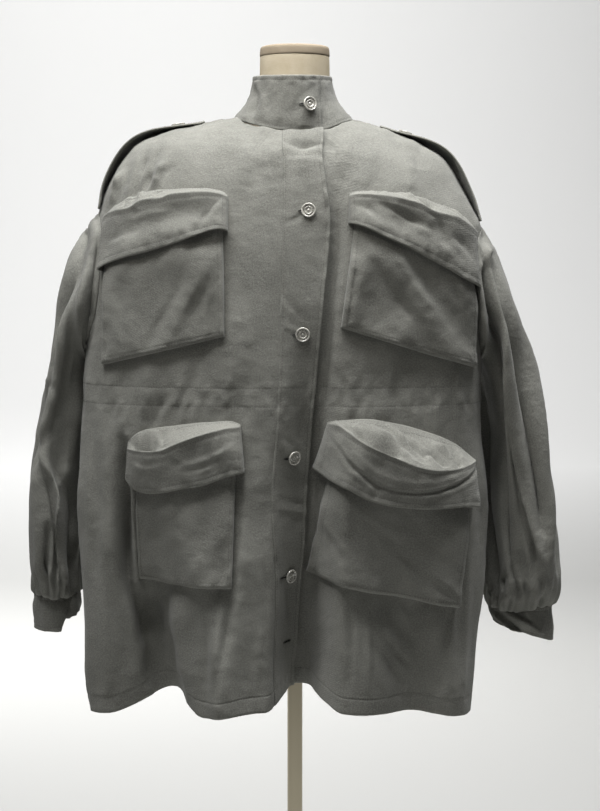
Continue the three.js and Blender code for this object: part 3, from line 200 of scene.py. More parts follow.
# The small folds: half width, depth and the points (x, z) that each runs through
frontCreases = [
    # shoulders
    (9, -10, [(-194, 1323), (-203, 1297), (-218, 1257)]),
    (8, -8.5, [(-211, 1321), (-219, 1289), (-228, 1257)]),
    (9, 8, [(-239, 1301), (-248, 1281), (-257, 1258)]),
    (8, 7.5, [(-179, 1310), (-185, 1297), (-192, 1280)]),
    (22, 2.2, [(159, 1310), (153, 1290), (148, 1270)]),
    (24, -2.6, [(177, 1347), (169, 1323), (163, 1289)]),
    (24, 2.2, [(100, 1323), (93, 1294), (86, 1268)]),
    # waist
    (9, -2.2, [(-237, 1026), (-240, 1007), (-241, 985)]),
    (9, 2.2, [(-151, 1031), (-157, 1008), (-163, 985)]),
    (8, -2, [(-133, 1045), (-137, 1015), (-141, 985)]),
    (10, 2.2, [(-87, 1053), (-90, 1021), (-93, 983)]),
    (10, -3.2, [(-171, 1000), (-185, 977), (-200, 947)]),
    (7, 2.4, [(-151, 996), (-154, 977), (-159, 958)]),
    (8, -2.2, [(-107, 993), (-103, 974), (-106, 955)]),
    (8, -2.4, [(57, 1026), (64, 1002), (62, 974)]),
    (9, 2.2, [(128, 1023), (124, 999), (128, 972)]),
    (8, -2.2, [(179, 1023), (187, 999), (182, 974)]),
    (8, 2, [(219, 1042), (217, 1010), (221, 977)]),
    # skirt
    (30, 9, [(-150, 800), (-128, 720), (-114, 640), (-106, 540), (-106, 440)]),
    (30, -12, [(-20, 900), (-16, 800), (-8, 700), (-2, 600), (0, 480), (0, 400)]),
    (24.7, 6.5, [(-68, 955), (-71, 824), (-80, 728), (-94, 645), (-104, 567)]),
    (12.3, -6.5, [(-84, 749), (-98, 673), (-113, 586)]),
    (11.4, 4.6, [(-166, 731), (-157, 659), (-149, 584)]),
    (9.5, -4.1, [(-182, 714), (-176, 645), (-172, 584)]),
    (8.5, -2.9, [(-129, 718), (-125, 659), (-128, 581)]),
    (7.6, -2.6, [(-48, 769), (-43, 714), (-46, 631)]),
    (13.3, 4.3, [(-263, 893), (-268, 769), (-271, 659), (-265, 575)]),
    (7.6, -3.2, [(-284, 947), (-282, 852), (-286, 742)]),
    (11.4, 4.1, [(113, 678), (146, 637), (179, 600)]),
    (9.5, -3.2, [(100, 659), (128, 620), (147, 581)]),
    (7.6, 2.3, [(141, 706), (156, 678), (169, 656)]),
    (11.4, 4.3, [(236, 852), (234, 714), (232, 589)]),
    (8.5, -2.9, [(211, 700), (205, 645), (202, 581)]),
    (8.5, -2.9, [(72, 706), (75, 659), (71, 589)]),
    (8.5, 2.6, [(92, 714), (98, 659), (97, 589)]),
    # placket
    (8, -4.5, [(-12, 1331), (8, 1326), (34, 1332)]),
    (13, 2.6, [(-13, 1309), (7, 1310), (29, 1307)]),
    (7, -1.8, [(-18, 1126), (-5, 1109), (9, 1094)]),
    (5, 1.6, [(-17, 1087), (-7, 1083), (2, 1079)]),
    (6, 2.6, [(-21, 841), (-5, 835), (13, 828)]),
    (5, -2.2, [(-20, 850), (-5, 846), (12, 839)]),
    (7, -1.6, [(-17, 940), (-7, 926), (3, 918)]),
    (6, 1.5, [(-18, 894), (-2, 886), (12, 888)]),
    (7, -1.5, [(-15, 1227), (-2, 1233), (9, 1239)]),
]
valleyCreases = [  # on the right front only, beside the waist bag's outer edge
    (10, -24, [(-237, 930), (-236, 860), (-234, 790), (-231, 735), (-222, 690), (-214, 650)]),
    (22, -22, [(-218, 718), (-213, 690), (-208, 645), (-205, 590)]),
    (20, 7, [(-106, 712), (-108, 680), (-112, 620), (-115, 570)]),
]
underEdgeCreases = [  # on the left front only, along the placket's free edge
    (20, -7, [(54, 1318), (54, 1217), (47, 1137), (40, 1069), (35, 988), (30, 939)]),
]
backCreases = [  # here x is the way round from the centre of the back
    (10, -2.4, [(-196, 1300), (-178, 1262), (-168, 1214)]),
    (10, -2.2, [(190, 1304), (176, 1258), (164, 1216)]),
    (12, 2.2, [(-150, 1190), (-120, 1140), (-104, 1080)]),
    (12, 2.2, [(158, 1184), (122, 1128), (110, 1074)]),
    (9, -1.8, [(-60, 1050), (-66, 1010), (-62, 966)]),
    (9, 1.6, [(34, 1044), (30, 1002), (36, 960)]),
    (8, -1.6, [(96, 1032), (101, 998), (98, 962)]),
    (8, 1.6, [(-140, 1030), (-136, 996), (-141, 958)]),
    (22, 4, [(62, 930), (70, 800), (84, 680), (92, 560)]),
    (20, 4, [(-58, 930), (-70, 806), (-78, 690), (-92, 562)]),
    (13, -3.6, [(20, 860), (26, 740), (40, 600)]),
    (12, -3, [(-150, 840), (-162, 720), (-160, 590)]),
    (12, 2.6, [(150, 800), (146, 690), (158, 580)]),
    (11, -2.2, [(230, 900), (238, 780), (236, 640)]),
    (11, 2.2, [(-262, 880), (-270, 760), (-262, 620)]),
]
casingRows = (1004, 979)  # two rows of stitches over a drawn-in casing
bodyShape = {
    "hemLevels": 2.2, "underDepth": 4.4, "underFrom": 4, "underOver": 44, "placketX": 8, "calmFrom": 6,
    "calmOver": 60, "calm": 0.75, "drawnZ": 965, "drawnOver": 95, "drawnTop": 1010,
}


def quarterField(side, half):
    # a quarter of the body from a centre line to a side line, evenly spaced round
    levels = np.linspace(0, neck, levelCount)
    reach = column(bodyTable[sideName(side)], levels)[:, None]
    sideY = column(bodyTable["sideY"], levels)[:, None]
    forward = -1 if half == "front" else 1
    depth = column(bodyTable[half], levels)[:, None] - forward * sideY
    power = 2 / column(bodyTable["power"], levels)[:, None]
    turn = np.linspace(0, math.pi / 2, roundCount)
    across = reach * np.sin(turn) ** power
    deep = depth * np.maximum(np.cos(turn), 0) ** power
    lengths = lengthsAlong(np.stack([across, deep], axis=-1))
    shares = np.linspace(0, 1, roundCount)
    even = np.zeros((levelCount, roundCount, 3))
    for row in range(levelCount):
        goal = shares * lengths[row, -1]
        for k, values in enumerate((across[row], deep[row], np.cos(turn) ** 2)):
            even[row, :, k] = np.interp(goal, lengths[row], values)
    run = np.gradient(even[..., :2], axis=1)
    size = np.hypot(run[..., 0], run[..., 1])
    zSide = column(bodyTable["z" + sideName(side).capitalize()], levels)[:, None]
    zCentre = column(bodyTable["z" + half.capitalize()], levels)[:, None]
    return np.stack([
        side * even[..., 0], sideY + forward * even[..., 1], mix(zSide, zCentre, even[..., 2]),
        -side * run[..., 1] / size, forward * run[..., 0] / size, side * shares * lengths[:, -1:]], axis=-1)


quarterFields = {(side, half): quarterField(side, half) for side in (-1, 1) for half in ("front", "back")}


def quarterLength(level, side, half="front"):
    lengths = np.abs(quarterFields[side, half][:, -1, 5])
    return np.interp(level, np.linspace(0, neck, levelCount), lengths)


def levelAt(key, z):
    # the level at which a column of heights reaches z
    levels = np.linspace(0, neck, roundCount)
    return np.interp(z, column(bodyTable[key], levels), levels)


def foldPush(table, along, z):
    push = np.zeros(along.shape)
    lift = np.zeros(along.shape)
    for at, lean, foot, top, depth, width, raised in table:
        rise = np.clip((z - foot) / (top - foot), 0, 1)
        strength = np.sin(math.pi / 2 * (1 - rise)) ** 1.3
        across = bell((along - at - (1 if at >= 0 else -1) * lean * rise) / width)
        started = ease((z - foot) / 60) if foot > 600 else 1
        push += depth * strength * across * started
        lift += raised * across
    return push, lift


# turn goes from 0 at the centre front over 1 (wearer's left side) or -1 to 2 or -2 at the back
def bodyPoint(turn, level, folded=True):
    turn, level = np.broadcast_arrays(np.asarray(turn, float), np.asarray(level, float))
    far = np.abs(turn)
    spots = np.zeros(turn.shape + (6,))
    for (side, half), field in quarterFields.items():
        here = ((turn < 0) == (side < 0)) & ((far <= 1) == (half == "front"))
        share = np.where(far <= 1, far, 2 - far)[here]
        spots[here] = sampled(field, level[here] * ((levelCount - 1) / neck), share * (roundCount - 1))
    place = spots[..., :3].copy()
    along = spots[..., 5]
    if folded:
        hemShare = ease(1 - level / bodyShape["hemLevels"])
        for table, here in ((frontFolds, far <= 1), (backFolds, far > 1)):
            push, lift = foldPush(table, along, spots[..., 2])
            push = np.where(here, push, 0)
            place[..., 0] += push * spots[..., 3]
            place[..., 1] += push * spots[..., 4]
            place[..., 2] += np.where(here, lift, 0) * hemShare
    return place, along


def bodyNormal(turn, level, folded=True):
    # an even step, so that the table's own grain doesn't show
    step = 0.03
    high = np.minimum(neck, level + step)
    low = np.maximum(0, level - step)
    across = bodyPoint(turn + step, level, folded)[0] - bodyPoint(turn - step, level, folded)[0]
    up = bodyPoint(turn, high, folded)[0] - bodyPoint(turn, low, folded)[0]
    return unit(np.cross(across, up))


def bodyDetail(place, along, turn, panel, laid=False):
    # how far the small folds, the casing and the cloth's own unevenness push the body out
    front = np.abs(turn) <= 1
    z = place[..., 2]
    flat = np.stack([np.where(front, place[..., 0], along), z], axis=-1)
    push = creases(flat, backCreases, 31) if panel == "back" else creases(flat, frontCreases, 30)
    if panel == "right" and not laid:
        push += creases(flat, valleyCreases, 33)
    if panel == "left":
        push += creases(flat, underEdgeCreases, 32) * ease((place[..., 0] - 26) / 16)
    push += waves(place, 105, 1) * ease((1420 - z) / 120)
    # crumpled in patches, and gathered under the casing
    patchy = 0.35 + 0.9 * ease(0.5 + 0.5 * waves(place, 130, 5))
    push += 0.8 * patchy * waves(place, 36, 2, 0.4)
    push += 0.22 * patchy * waves(place, 14, 3, 0.7)
    drawn = bell((z - bodyShape["drawnZ"]) / bodyShape["drawnOver"]) * ease((bodyShape["drawnTop"] - z) / 30)
    push += 0.75 * waves(place, 24, 4, 0.2) * drawn
    for k, height in enumerate(casingRows):
        pucker = waves(place, 12, 40 + k, 0.35)
        push += 0.6 * pucker * bell((z - height) / 18) - 0.22 * bell((z - height) / stitchGroove)
    # calmer beside the placket, where the cloth is double
    fromPlacket = np.abs(place[..., 0] - bodyShape["placketX"]) - bodyShape["calmFrom"]
    free = ease(fromPlacket / bodyShape["calmOver"]) if panel != "back" else 1
    return push * mix(bodyShape["calm"], 1, free)


def underlapSink(turn, level):
    # the left front lies deeper where it runs in under the right one
    length = np.where(turn < 0, quarterLength(level, -1), quarterLength(level, 1))
    fromEdge = turn * length - column(bodyTable["edge"], level)
    return bodyShape["underDepth"] * (1 - ease((fromEdge - bodyShape["underFrom"]) / bodyShape["underOver"]))


def bodySurface(turn, level, panel, laid=False):
    # a panel's outer skin; laid leaves out the folds that run beside what is laid on it
    place, along = bodyPoint(turn, level)
    normal = bodyNormal(turn, level)
    push = bodyDetail(place, along, turn, panel, laid)
    if panel == "left":
        push = push - underlapSink(turn, level)
    return place + normal * push[..., None], normal


def layOn(x, z, panel):
    # the place of a front panel that lies at (x, z) as seen from the front, and its way out
    level = levelAt("zFront", z)
    turn = np.clip(x / 360, -0.96, 0.96)
    step = 0.004
    # both ways over the surface are followed nine times toward the place that is left
    for _ in range(9):
        here = bodyPoint(turn, level)[0]
        byTurn = (bodyPoint(turn + step, level)[0] - here) / step
        byLevel = (bodyPoint(turn, level + step)[0] - here) / step
        offX, offZ = x - here[..., 0], z - here[..., 2]
        area = byTurn[..., 0] * byLevel[..., 2] - byTurn[..., 2] * byLevel[..., 0]
        area = np.where(np.abs(area) < 2, 2 * np.sign(area + 1e-9), area)
        goTurn = (offX * byLevel[..., 2] - offZ * byLevel[..., 0]) / area
        goLevel = (byTurn[..., 0] * offZ - byTurn[..., 2] * offX) / area
        turn = np.clip(turn + np.clip(goTurn, -0.08, 0.08), -0.97, 0.97)
        level = np.clip(level + np.clip(goLevel, -0.5, 0.5), 0, neck - 0.01)
    place, _ = bodySurface(turn, level, panel, laid=True)
    return place, bodyNormal(turn, level, False)


def gridWays(grid, toward=None, closed=False):
    # the way out of a grid of points, on the side that toward points to
    along = np.roll(grid, -1, axis=1) - np.roll(grid, 1, axis=1) if closed else np.gradient(grid, axis=1)
    ways = unit(np.cross(along, np.gradient(grid, axis=0)))
    return -ways if toward is not None and (ways * toward).sum() < 0 else ways


def plainObject(name, points, faces, smooth=True):
    mesh = bpy.data.meshes.new(name)
    mesh.from_pydata([tuple(p) for p in np.asarray(points) * mm], [], [tuple(f) for f in faces])
    mesh.validate()
    mesh.update()
    mesh.polygons.foreach_set("use_smooth", [smooth] * len(mesh.polygons))
    made = bpy.data.objects.new(name, mesh)
    bpy.context.scene.collection.objects.link(made)
    return made


def solid(name, points, faces, smooth=True):
    # a closed mesh with its faces turned outward, whichever way they were listed
    made = plainObject(name, points, faces, smooth)
    mesh = made.data
    spots = np.zeros(len(mesh.vertices) * 3)
    mesh.vertices.foreach_get("co", spots)
    mesh.calc_loop_triangles()
    corners = np.zeros(len(mesh.loop_triangles) * 3, int)
    mesh.loop_triangles.foreach_get("vertices", corners)
    a, b, c = (spots.reshape(-1, 3)[corners[k::3]] for k in range(3))
    if (a * np.cross(b, c)).sum() < 0:
        mesh.flip_normals()
    return made


def edgeWear(grid):
    # 1 along the outermost points of a grid and fading inward, for the washed look of an edge
    rows, columns = (np.arange(count) for count in grid.shape[:2])
    fromRow = np.minimum(rows, rows[::-1])[:, None]
    fromColumn = np.minimum(columns, columns[::-1])[None, :]
    return np.exp(-np.minimum(fromRow, fromColumn))


rimBulge = 0.4


def shell(name, outer, out=None, wall=clothWall, closed=False, inner=None, wear=None):
    # a wall of cloth: two skins of rows by columns of points, with a rounded rim
    rows, columns = outer.shape[:2]
    inner = outer - out * wall if inner is None else inner
    count = rows * columns
    number = np.arange(count).reshape(rows, columns)
    after = np.roll(number, -1, axis=1) if closed else number[:, 1:]
    here = number if closed else number[:, :-1]
    quads = np.stack([here[:-1], after[:-1], after[1:], here[1:]], axis=-1).reshape(-1, 4)
    faces = [quads, quads[:, ::-1] + count]
    if closed:
        rims = [(number[0], unit(outer[0] - outer[1])),
                (number[-1][::-1], unit(outer[-1] - outer[-2])[::-1])]
    else:
        last, end = rows - 1, columns - 1
        ring = [(0, c) for c in range(columns)] + [(r, end) for r in range(1, rows)]
        ring += [(last, c) for c in range(end - 1, -1, -1)] + [(r, 0) for r in range(last - 1, 0, -1)]
        away = np.zeros((len(ring), 3))
        for i, (r, c) in enumerate(ring):
            if r in (0, last):
                away[i] += unit(outer[r, c] - outer[1 if r == 0 else last - 1, c])
            if c in (0, end):
                away[i] += unit(outer[r, c] - outer[r, 1 if c == 0 else end - 1])
        rims = [(np.array([number[spot] for spot in ring]), unit(away))]
    points = [outer.reshape(-1, 3), inner.reshape(-1, 3)]
    total = 2 * count
    for loop, away in rims:
        points.append(0.5 * (points[0][loop] + points[1][loop]) + away * wall * rimBulge)
        middles = total + np.arange(len(loop))
        total += len(loop)
        nextLoop, nextMiddles = np.roll(loop, -1), np.roll(middles, -1)
        faces.append(np.stack([nextLoop, loop, middles, nextMiddles], axis=-1))
        faces.append(np.stack([nextMiddles, middles, loop + count, nextLoop + count], axis=-1))
    made = solid(name, np.concatenate(points), np.concatenate(faces))
    # the cloth's own measure, from the middle column and the first row, carries the weave
    rim = np.concatenate([loop for loop, _ in rims])
    across = lengthsAlong(outer)
    across -= across[:, columns // 2:columns // 2 + 1]
    flat = np.stack([across, lengthsAlong(outer, 0)], axis=-1).reshape(-1, 2)
    flat = np.concatenate([flat, flat, flat[rim]]) * mm
    index = np.zeros(len(made.data.loops), int)
    made.data.loops.foreach_get("vertex_index", index)
    made.data.uv_layers.new(name="cloth").data.foreach_set("uv", flat[index].ravel())
    worn = (edgeWear(outer) if wear is None else wear).reshape(-1)
    layer = made.data.attributes.new("wear", "FLOAT", "POINT")
    layer.data.foreach_set("value", np.concatenate([worn, np.zeros(count), np.ones(len(rim))]))
    return made


# Fronts and back
bodyRows = {"step": 4.0, "least": 0.38, "armSteps": 72, "shoulderSteps": 58, "hemStitch": 22,
            "beside": (0.5, 1.3, 2.6)}


def rowLevels():
    # even steps up to the underarm with closer ones beside each row of stitches, then the armhole
    fine = np.linspace(0, neck, 1201)
    foot, pit = (bodyTable["zFront"][level] for level in (0, underarm))
    heights = list(np.linspace(foot, pit, int((pit - foot) / bodyRows["step"]) + 1))
    for line in (foot + bodyRows["hemStitch"],) + casingRows:
        heights += [line] + [line + sign * beside for beside in bodyRows["beside"] for sign in (-1, 1)]
    low = []
    for height in sorted(heights):
        if not low or height - low[-1] > bodyRows["least"]:
            low.append(height)
    levels = list(np.interp(low, column(bodyTable["zFront"], fine), fine))[:-1]
    turn = math.pi * np.arange(bodyRows["armSteps"]) / bodyRows["armSteps"]
    levels += list(mix(underarm, point, 0.5 - 0.5 * np.cos(turn)))
    levels += list(np.linspace(point, neck, bodyRows["shoulderSteps"] + 1))
    return np.array(levels)


levels = rowLevels()
armRow = int(np.argmin(np.abs(levels - underarm)))
armEnd = armRow + bodyRows["armSteps"]
armholeWide = {"front": 62, "back": 70}
# how far the strip's free edge stands out over the front's own
stripOver = 1.2


def armholeCut(level, side, half):
    share = np.clip((level - underarm) / (point - underarm), 0, 1)
    return armholeWide[half] * bow(share, 2) / quarterLength(level, side, half)


def giveWay(share):
    # how much of an armhole's cut a column takes, less and less inwards
    return np.maximum(0, 1 - share) ** 2.4


def turnAtX(x, level):
    return x / np.where(x < 0, quarterLength(level, -1), quarterLength(level, 1))


def gapTurn(level, side, half):
    return 0.5 * seamGap / quarterLength(level, side, half)


def placketTurns(level):
    # the turns of the placket's seam and of its free edge
    seam, edge = (column(bodyTable[key], level) for key in ("seam", "edge"))
    return turnAtX(seam, level), turnAtX(edge - stripOver, level)


def rightFrontTurn(share, level):
    # share 0 at the side seam, 1 at the placket's seam and 2 at its free edge
    outer = -1 + gapTurn(level, -1, "front")
    seam, edge = placketTurns(level)
    wide = mix(outer, seam, np.minimum(share, 1)) + armholeCut(level, -1, "front") * giveWay(share)
    return np.where(share > 1, mix(seam, edge, share - 1), wide)


def leftFrontTurn(share, level):
    # share 0 at the hidden edge, 1 where the placket's free edge lies over it, 2 at the side seam
    seam, edge = placketTurns(level)
    outer = 1 - gapTurn(level, 1, "front")
    wide = mix(edge, outer, share - 1) - armholeCut(level, 1, "front") * giveWay(2 - share)
    return np.where(share < 1, mix(mix(seam, edge, 0.25), edge, share), wide)


def backTurn(share, level):
    # share 0 at the right side seam, 2 at the left one
    right = 1 + gapTurn(level, -1, "back")
    left = 3 - gapTurn(level, 1, "back")
    turn = mix(right, left, share / 2) + armholeCut(level, -1, "back") * giveWay(share)
    turn = turn - armholeCut(level, 1, "back") * giveWay(2 - share)
    return np.where(turn <= 2, -turn, 4 - turn)


stripShares = np.concatenate([
    np.array([1.0, 1.012, 1.03, 1.05, 1.075]), np.linspace(1.12, 1.88, 13),
    np.array([1.915, 1.935, 1.95, 1.965, 1.985, 2.0])])
rightShares = np.concatenate([np.linspace(0, 0.985, 78), [0.993], stripShares])
leftShares = np.concatenate([np.linspace(0, 1, 13)[:-1], np.linspace(1, 2, 80)])
backShares = np.linspace(0, 2, 152)
panels = {}
for name, turnAt, shares in (("right", rightFrontTurn, rightShares), ("left", leftFrontTurn, leftShares),
                             ("back", backTurn, backShares)):
    level = np.repeat(levels[:, None], len(shares), axis=1)
    turn = turnAt(shares[None, :], level)
    place, normal = bodySurface(turn, level, name)
    if name == "right":
        strip = column(bodyTable["edge"], level) - column(bodyTable["seam"], level)
        groove = bell((shares[None, :] - 1) * strip / 2.2)
        place = place - normal * (0.5 * groove)[..., None]
    overHem = place[..., 2] - (place[:1, :, 2] + bodyRows["hemStitch"])
    hem = 0.35 * waves(place, 14, 50, 0.3) * bell(overHem / 20) - 0.45 * bell(overHem / stitchGroove)
    place = place + normal * hem[..., None]
    panels[name] = {"place": place, "ways": gridWays(place, normal)}
rightFront, leftFront, back = (
    shell(name, panels[key]["place"], panels[key]["ways"])
    for key, name in (("right", "rightFront"), ("left", "leftFront"), ("back", "backPanel")))
print("fronts and back")

# Placket strip, moved out from the right front's own points
stripFrom = len(rightShares) - len(stripShares)
stripPlace = panels["right"]["place"][:, stripFrom:].copy()
stripOut = panels["right"]["ways"][:, stripFrom:]
stripPlace[:, -1, 0] += stripOver
stripPlace[:, -2, 0] += stripOver / 2
stripWidth, seamStitch, edgeStitch = 60, 2.4, 4.2
fromSeam = (stripShares - 1)[None, :] * stripWidth
fromEdge = stripWidth - fromSeam
puff = 0.55 * waves(stripPlace, 11, 61, 0.5) * np.exp(-fromSeam / 6)
puff = puff + 0.4 * waves(stripPlace, 10, 62, 0.5) * np.exp(-fromEdge / 5)
puff = puff - 0.45 * bell((fromSeam - seamStitch) / 1.6) - 0.35 * bell((fromEdge - edgeStitch) / 1.6)
# sewn down flat along its seam, full at its free edge
thick = mix(0.6, clothWall + 1.0, fromSeam / stripWidth)
stripInner = stripPlace + stripOut * seamGap
stripOuter = stripPlace + stripOut * (seamGap + thick + puff * ease(fromSeam / 3))[..., None]
stripWear = np.exp(-np.arange(len(stripShares))[::-1] / 1.2)[None, :] * np.ones((len(levels), 1))
placket = shell("frontPlacket", stripOuter, inner=stripInner, wear=stripWear)
print("placket")


# Pockets. Every x is measured from the centre of the front, every z from the floor. mouth and
# foot are the bag's two ends, and the depths are how far a bag or a flap stands off the front
pocketKeys = (
    "side", "outer", "inner", "outerFoot", "innerFoot", "mouthOuter", "mouthInner", "footOuter",
    "footInner", "depth", "mouthDepth", "flapDepth", "footDepth", "bandHollow")
pockets = {
    "chestRight": (-1, 259, 100, 267, 98, 1212, 1238, 1033, 1074, 9, 15.5, 25, 22, 5.5),
    "chestLeft": (1, 236, 77, 243, 58, 1196, 1230, 1028, 1086, 10, 17, 28, 24, 5),
    "waistRight": (-1, 222, 82, 217, 89, 905, 925, 734, 732, 13, 18, 33, 26, 2),
    "waistLeft": (1, 234, 47, 220, 12, 880, 922, 698, 745, 17, 25, 46, 36, 0),
}
bagShape = {"wall": 1.4, "columns": 54, "rowPower": 1.35, "mouthBow": 2.4, "footBow": 9, "width": 160,
            "height": 170}
flapShape = {"wall": 1.8, "columns": 84, "lidPower": 0.85, "lidBow": 2, "bandBow": 3.6, "leastLid": 1.6,
             "leastBand": 12, "hollowRow": 0.4, "hollowShare": 0.52}
bagCreases = {
    "chestRight": [
        (15, 3.8, [(-118, 1172), (-131, 1145), (-156, 1100), (-182, 1049)]),
        (11, -2.6, [(-143, 1174), (-159, 1137), (-183, 1095), (-202, 1057)]),
        (9, 1.3, [(-208, 1140), (-210, 1117), (-214, 1092)]),
        (7, -1.2, [(-233, 1124), (-231, 1084), (-237, 1055)]),
        (8, -1.4, [(-114, 1124), (-116, 1097), (-114, 1071)]),
    ],
    "chestLeft": [
        (16, 3.8, [(119, 1190), (162, 1133), (209, 1065), (230, 1044)]),
        (11, -2.6, [(99, 1174), (134, 1124), (177, 1071)]),
        (9, 1.4, [(86, 1182), (81, 1137), (73, 1095)]),
        (7, -1.3, [(189, 1174), (206, 1137), (219, 1100)]),
    ],
    "waistRight": [
        (12, -1.4, [(-191, 859), (-185, 816), (-188, 772)]),
        (11, 1.4, [(-120, 856), (-112, 802), (-115, 753)]),
        (8, -1.1, [(-160, 862), (-156, 829), (-150, 802)]),
        (9, 1.2, [(-101, 859), (-96, 802), (-99, 756)]),
    ],
    "waistLeft": [
        (8, -2.8, [(30, 819), (49, 792), (71, 764)]),
        (9, 1.8, [(85, 835), (115, 816), (140, 797)]),
        (9, -2.2, [(112, 800), (154, 760), (200, 716)]),
        (8, 1.7, [(144, 781), (178, 751), (216, 720)]),
        (7, -1.5, [(53, 841), (48, 816), (40, 787)]),
        (9, 1.4, [(177, 852), (186, 816), (191, 781)]),
    ],
}
# a flap's seam, the front ridge of its lid and the foot of its band, from the centre outwards
flapLines = {
    "chestRight": {
        "seam": [(93, 1262), (99, 1268), (120, 1273), (148, 1273), (175, 1272), (198, 1270), (222, 1266),
                 (242, 1257), (258, 1246), (268, 1231)],
        "ridge": [(93, 1261), (106, 1264), (125, 1264), (145, 1262), (165, 1259), (172, 1255), (191, 1253),
                  (205, 1250), (216, 1242), (239, 1239), (257, 1236), (268, 1229)],
        "foot": [(93, 1215), (103, 1216), (115, 1213), (141, 1203), (167, 1194), (194, 1186), (220, 1179),
                 (248, 1170), (269, 1161)]},
    "chestLeft": {
        "seam": [(69, 1264), (76, 1268), (108, 1269), (135, 1266), (163, 1262), (191, 1253), (208, 1247),
                 (228, 1236), (239, 1226), (246, 1217)],
        "ridge": [(69, 1262), (78, 1262), (101, 1259), (125, 1254), (153, 1246), (169, 1237), (182, 1233),
                  (205, 1228), (225, 1219), (246, 1212)],
        "foot": [(68, 1225), (90, 1216), (115, 1203), (141, 1192), (167, 1178), (193, 1164), (219, 1148),
                 (244, 1138)]},
    "waistRight": {
        "seam": [(76, 955), (90, 960), (111, 959), (138, 957), (166, 953), (194, 949), (213, 944), (224, 937),
                 (232, 928)],
        "ridge": [(76, 953), (95, 952), (119, 946), (144, 937), (164, 928), (174, 923), (186, 921),
                  (202, 920), (219, 920), (232, 921)],
        "foot": [(71, 891), (95, 886), (121, 876), (147, 871), (172, 865), (191, 862), (209, 862), (221, 868),
                 (233, 880)]},
    "waistLeft": {
        "seam": [(39, 957), (51, 960), (72, 962), (96, 963), (118, 959), (146, 953), (174, 944), (202, 933),
                 (224, 920), (241, 903)],
        "ridge": [(39, 956), (51, 957), (64, 950), (80, 937), (97, 927), (117, 917), (134, 908), (154, 899),
                  (174, 894), (197, 893), (216, 896), (241, 902)],
        "foot": [(19, 892), (34, 884), (62, 873), (86, 859), (111, 850), (137, 845), (162, 843), (187, 842),
                 (214, 842), (241, 837)]},
}
# the folds of a lid, which move it up or down, then those of its band
lidFolds = {
    "chestRight": [
        (7, -9, [(-218, 1262), (-224, 1256), (-232, 1248)]),
        (5, 5, [(-206, 1268), (-209, 1260), (-212, 1250)]),
        (5, -5, [(-180, 1270), (-186, 1262), (-194, 1256)])],
    "chestLeft": [
        (8, -10, [(154, 1262), (166, 1252), (178, 1242)]), (6, 5, [(136, 1264), (146, 1256), (154, 1250)]),
        (5, -5, [(198, 1248), (208, 1238), (218, 1228)])],
    "waistRight": [
        (12, -24, [(-220, 931), (-208, 930), (-194, 930), (-182, 930)]),
        (5, 4.5, [(-207, 937), (-205, 931), (-204, 924)]), (5, 5, [(-195, 938), (-193, 931), (-190, 924)]),
        (6, -6, [(-184, 946), (-180, 938), (-174, 930)])],
    "waistLeft": [
        (13, -24, [(86, 944), (100, 935), (114, 927), (128, 919)]),
        (6, 11, [(118, 956), (130, 941), (141, 927), (156, 912)]),
        (8, -12, [(140, 937), (150, 926), (164, 913)]),
        (6, -14, [(166, 920), (175, 910), (184, 900)]), (5, 8, [(182, 926), (191, 914), (199, 902)]),
        (5, -10, [(200, 912), (203, 905), (206, 897)]), (6, -5, [(60, 956), (72, 950), (86, 940)])],
}
flapCreases = {
    "chestRight": [
        (8, -1.8, [(-100, 1258), (-110, 1246), (-126, 1226)]),
        (9, 1.5, [(-224, 1225), (-195, 1233), (-166, 1238)]),
        (5, -1.8, [(-209, 1244), (-211, 1232), (-210, 1218)]),
        (9, -1.6, [(-134, 1212), (-122, 1226), (-112, 1242)]),
        (7, -1.3, [(-252, 1196), (-230, 1206), (-208, 1211)]),
    ],
    "chestLeft": [
        (9, -1.9, [(102, 1250), (128, 1234), (156, 1222)]),
        (8, 1.6, [(112, 1240), (140, 1224), (170, 1208)]),
        (8, -1.4, [(77, 1246), (92, 1240), (104, 1226)]),
        (6, -1.6, [(168, 1232), (180, 1222), (186, 1206)]),
        (9, -1.4, [(196, 1206), (214, 1192), (226, 1176)]),
    ],
    "waistRight": [
        (9, 1.1, [(-218, 900), (-198, 896), (-176, 900)]),
        (7, 1.2, [(-150, 902), (-128, 908), (-104, 918), (-86, 930)]),
        (6, -1.1, [(-146, 892), (-126, 898), (-102, 908)]),
        (8, -0.8, [(-172, 916), (-162, 908), (-150, 902)]),
    ],
    "waistLeft": [
        (3.6, -2.8, [(44, 938), (52, 928), (62, 914), (72, 902), (88, 888), (108, 874), (134, 867),
                     (162, 865), (190, 870), (217, 880), (238, 894)]),
        (12, 1.1, [(56, 936), (72, 920), (90, 902), (112, 888), (138, 880), (166, 878), (194, 882),
                   (220, 892)]),
        (5, -1.4, [(86, 886), (98, 874), (110, 864)]),
    ],
}


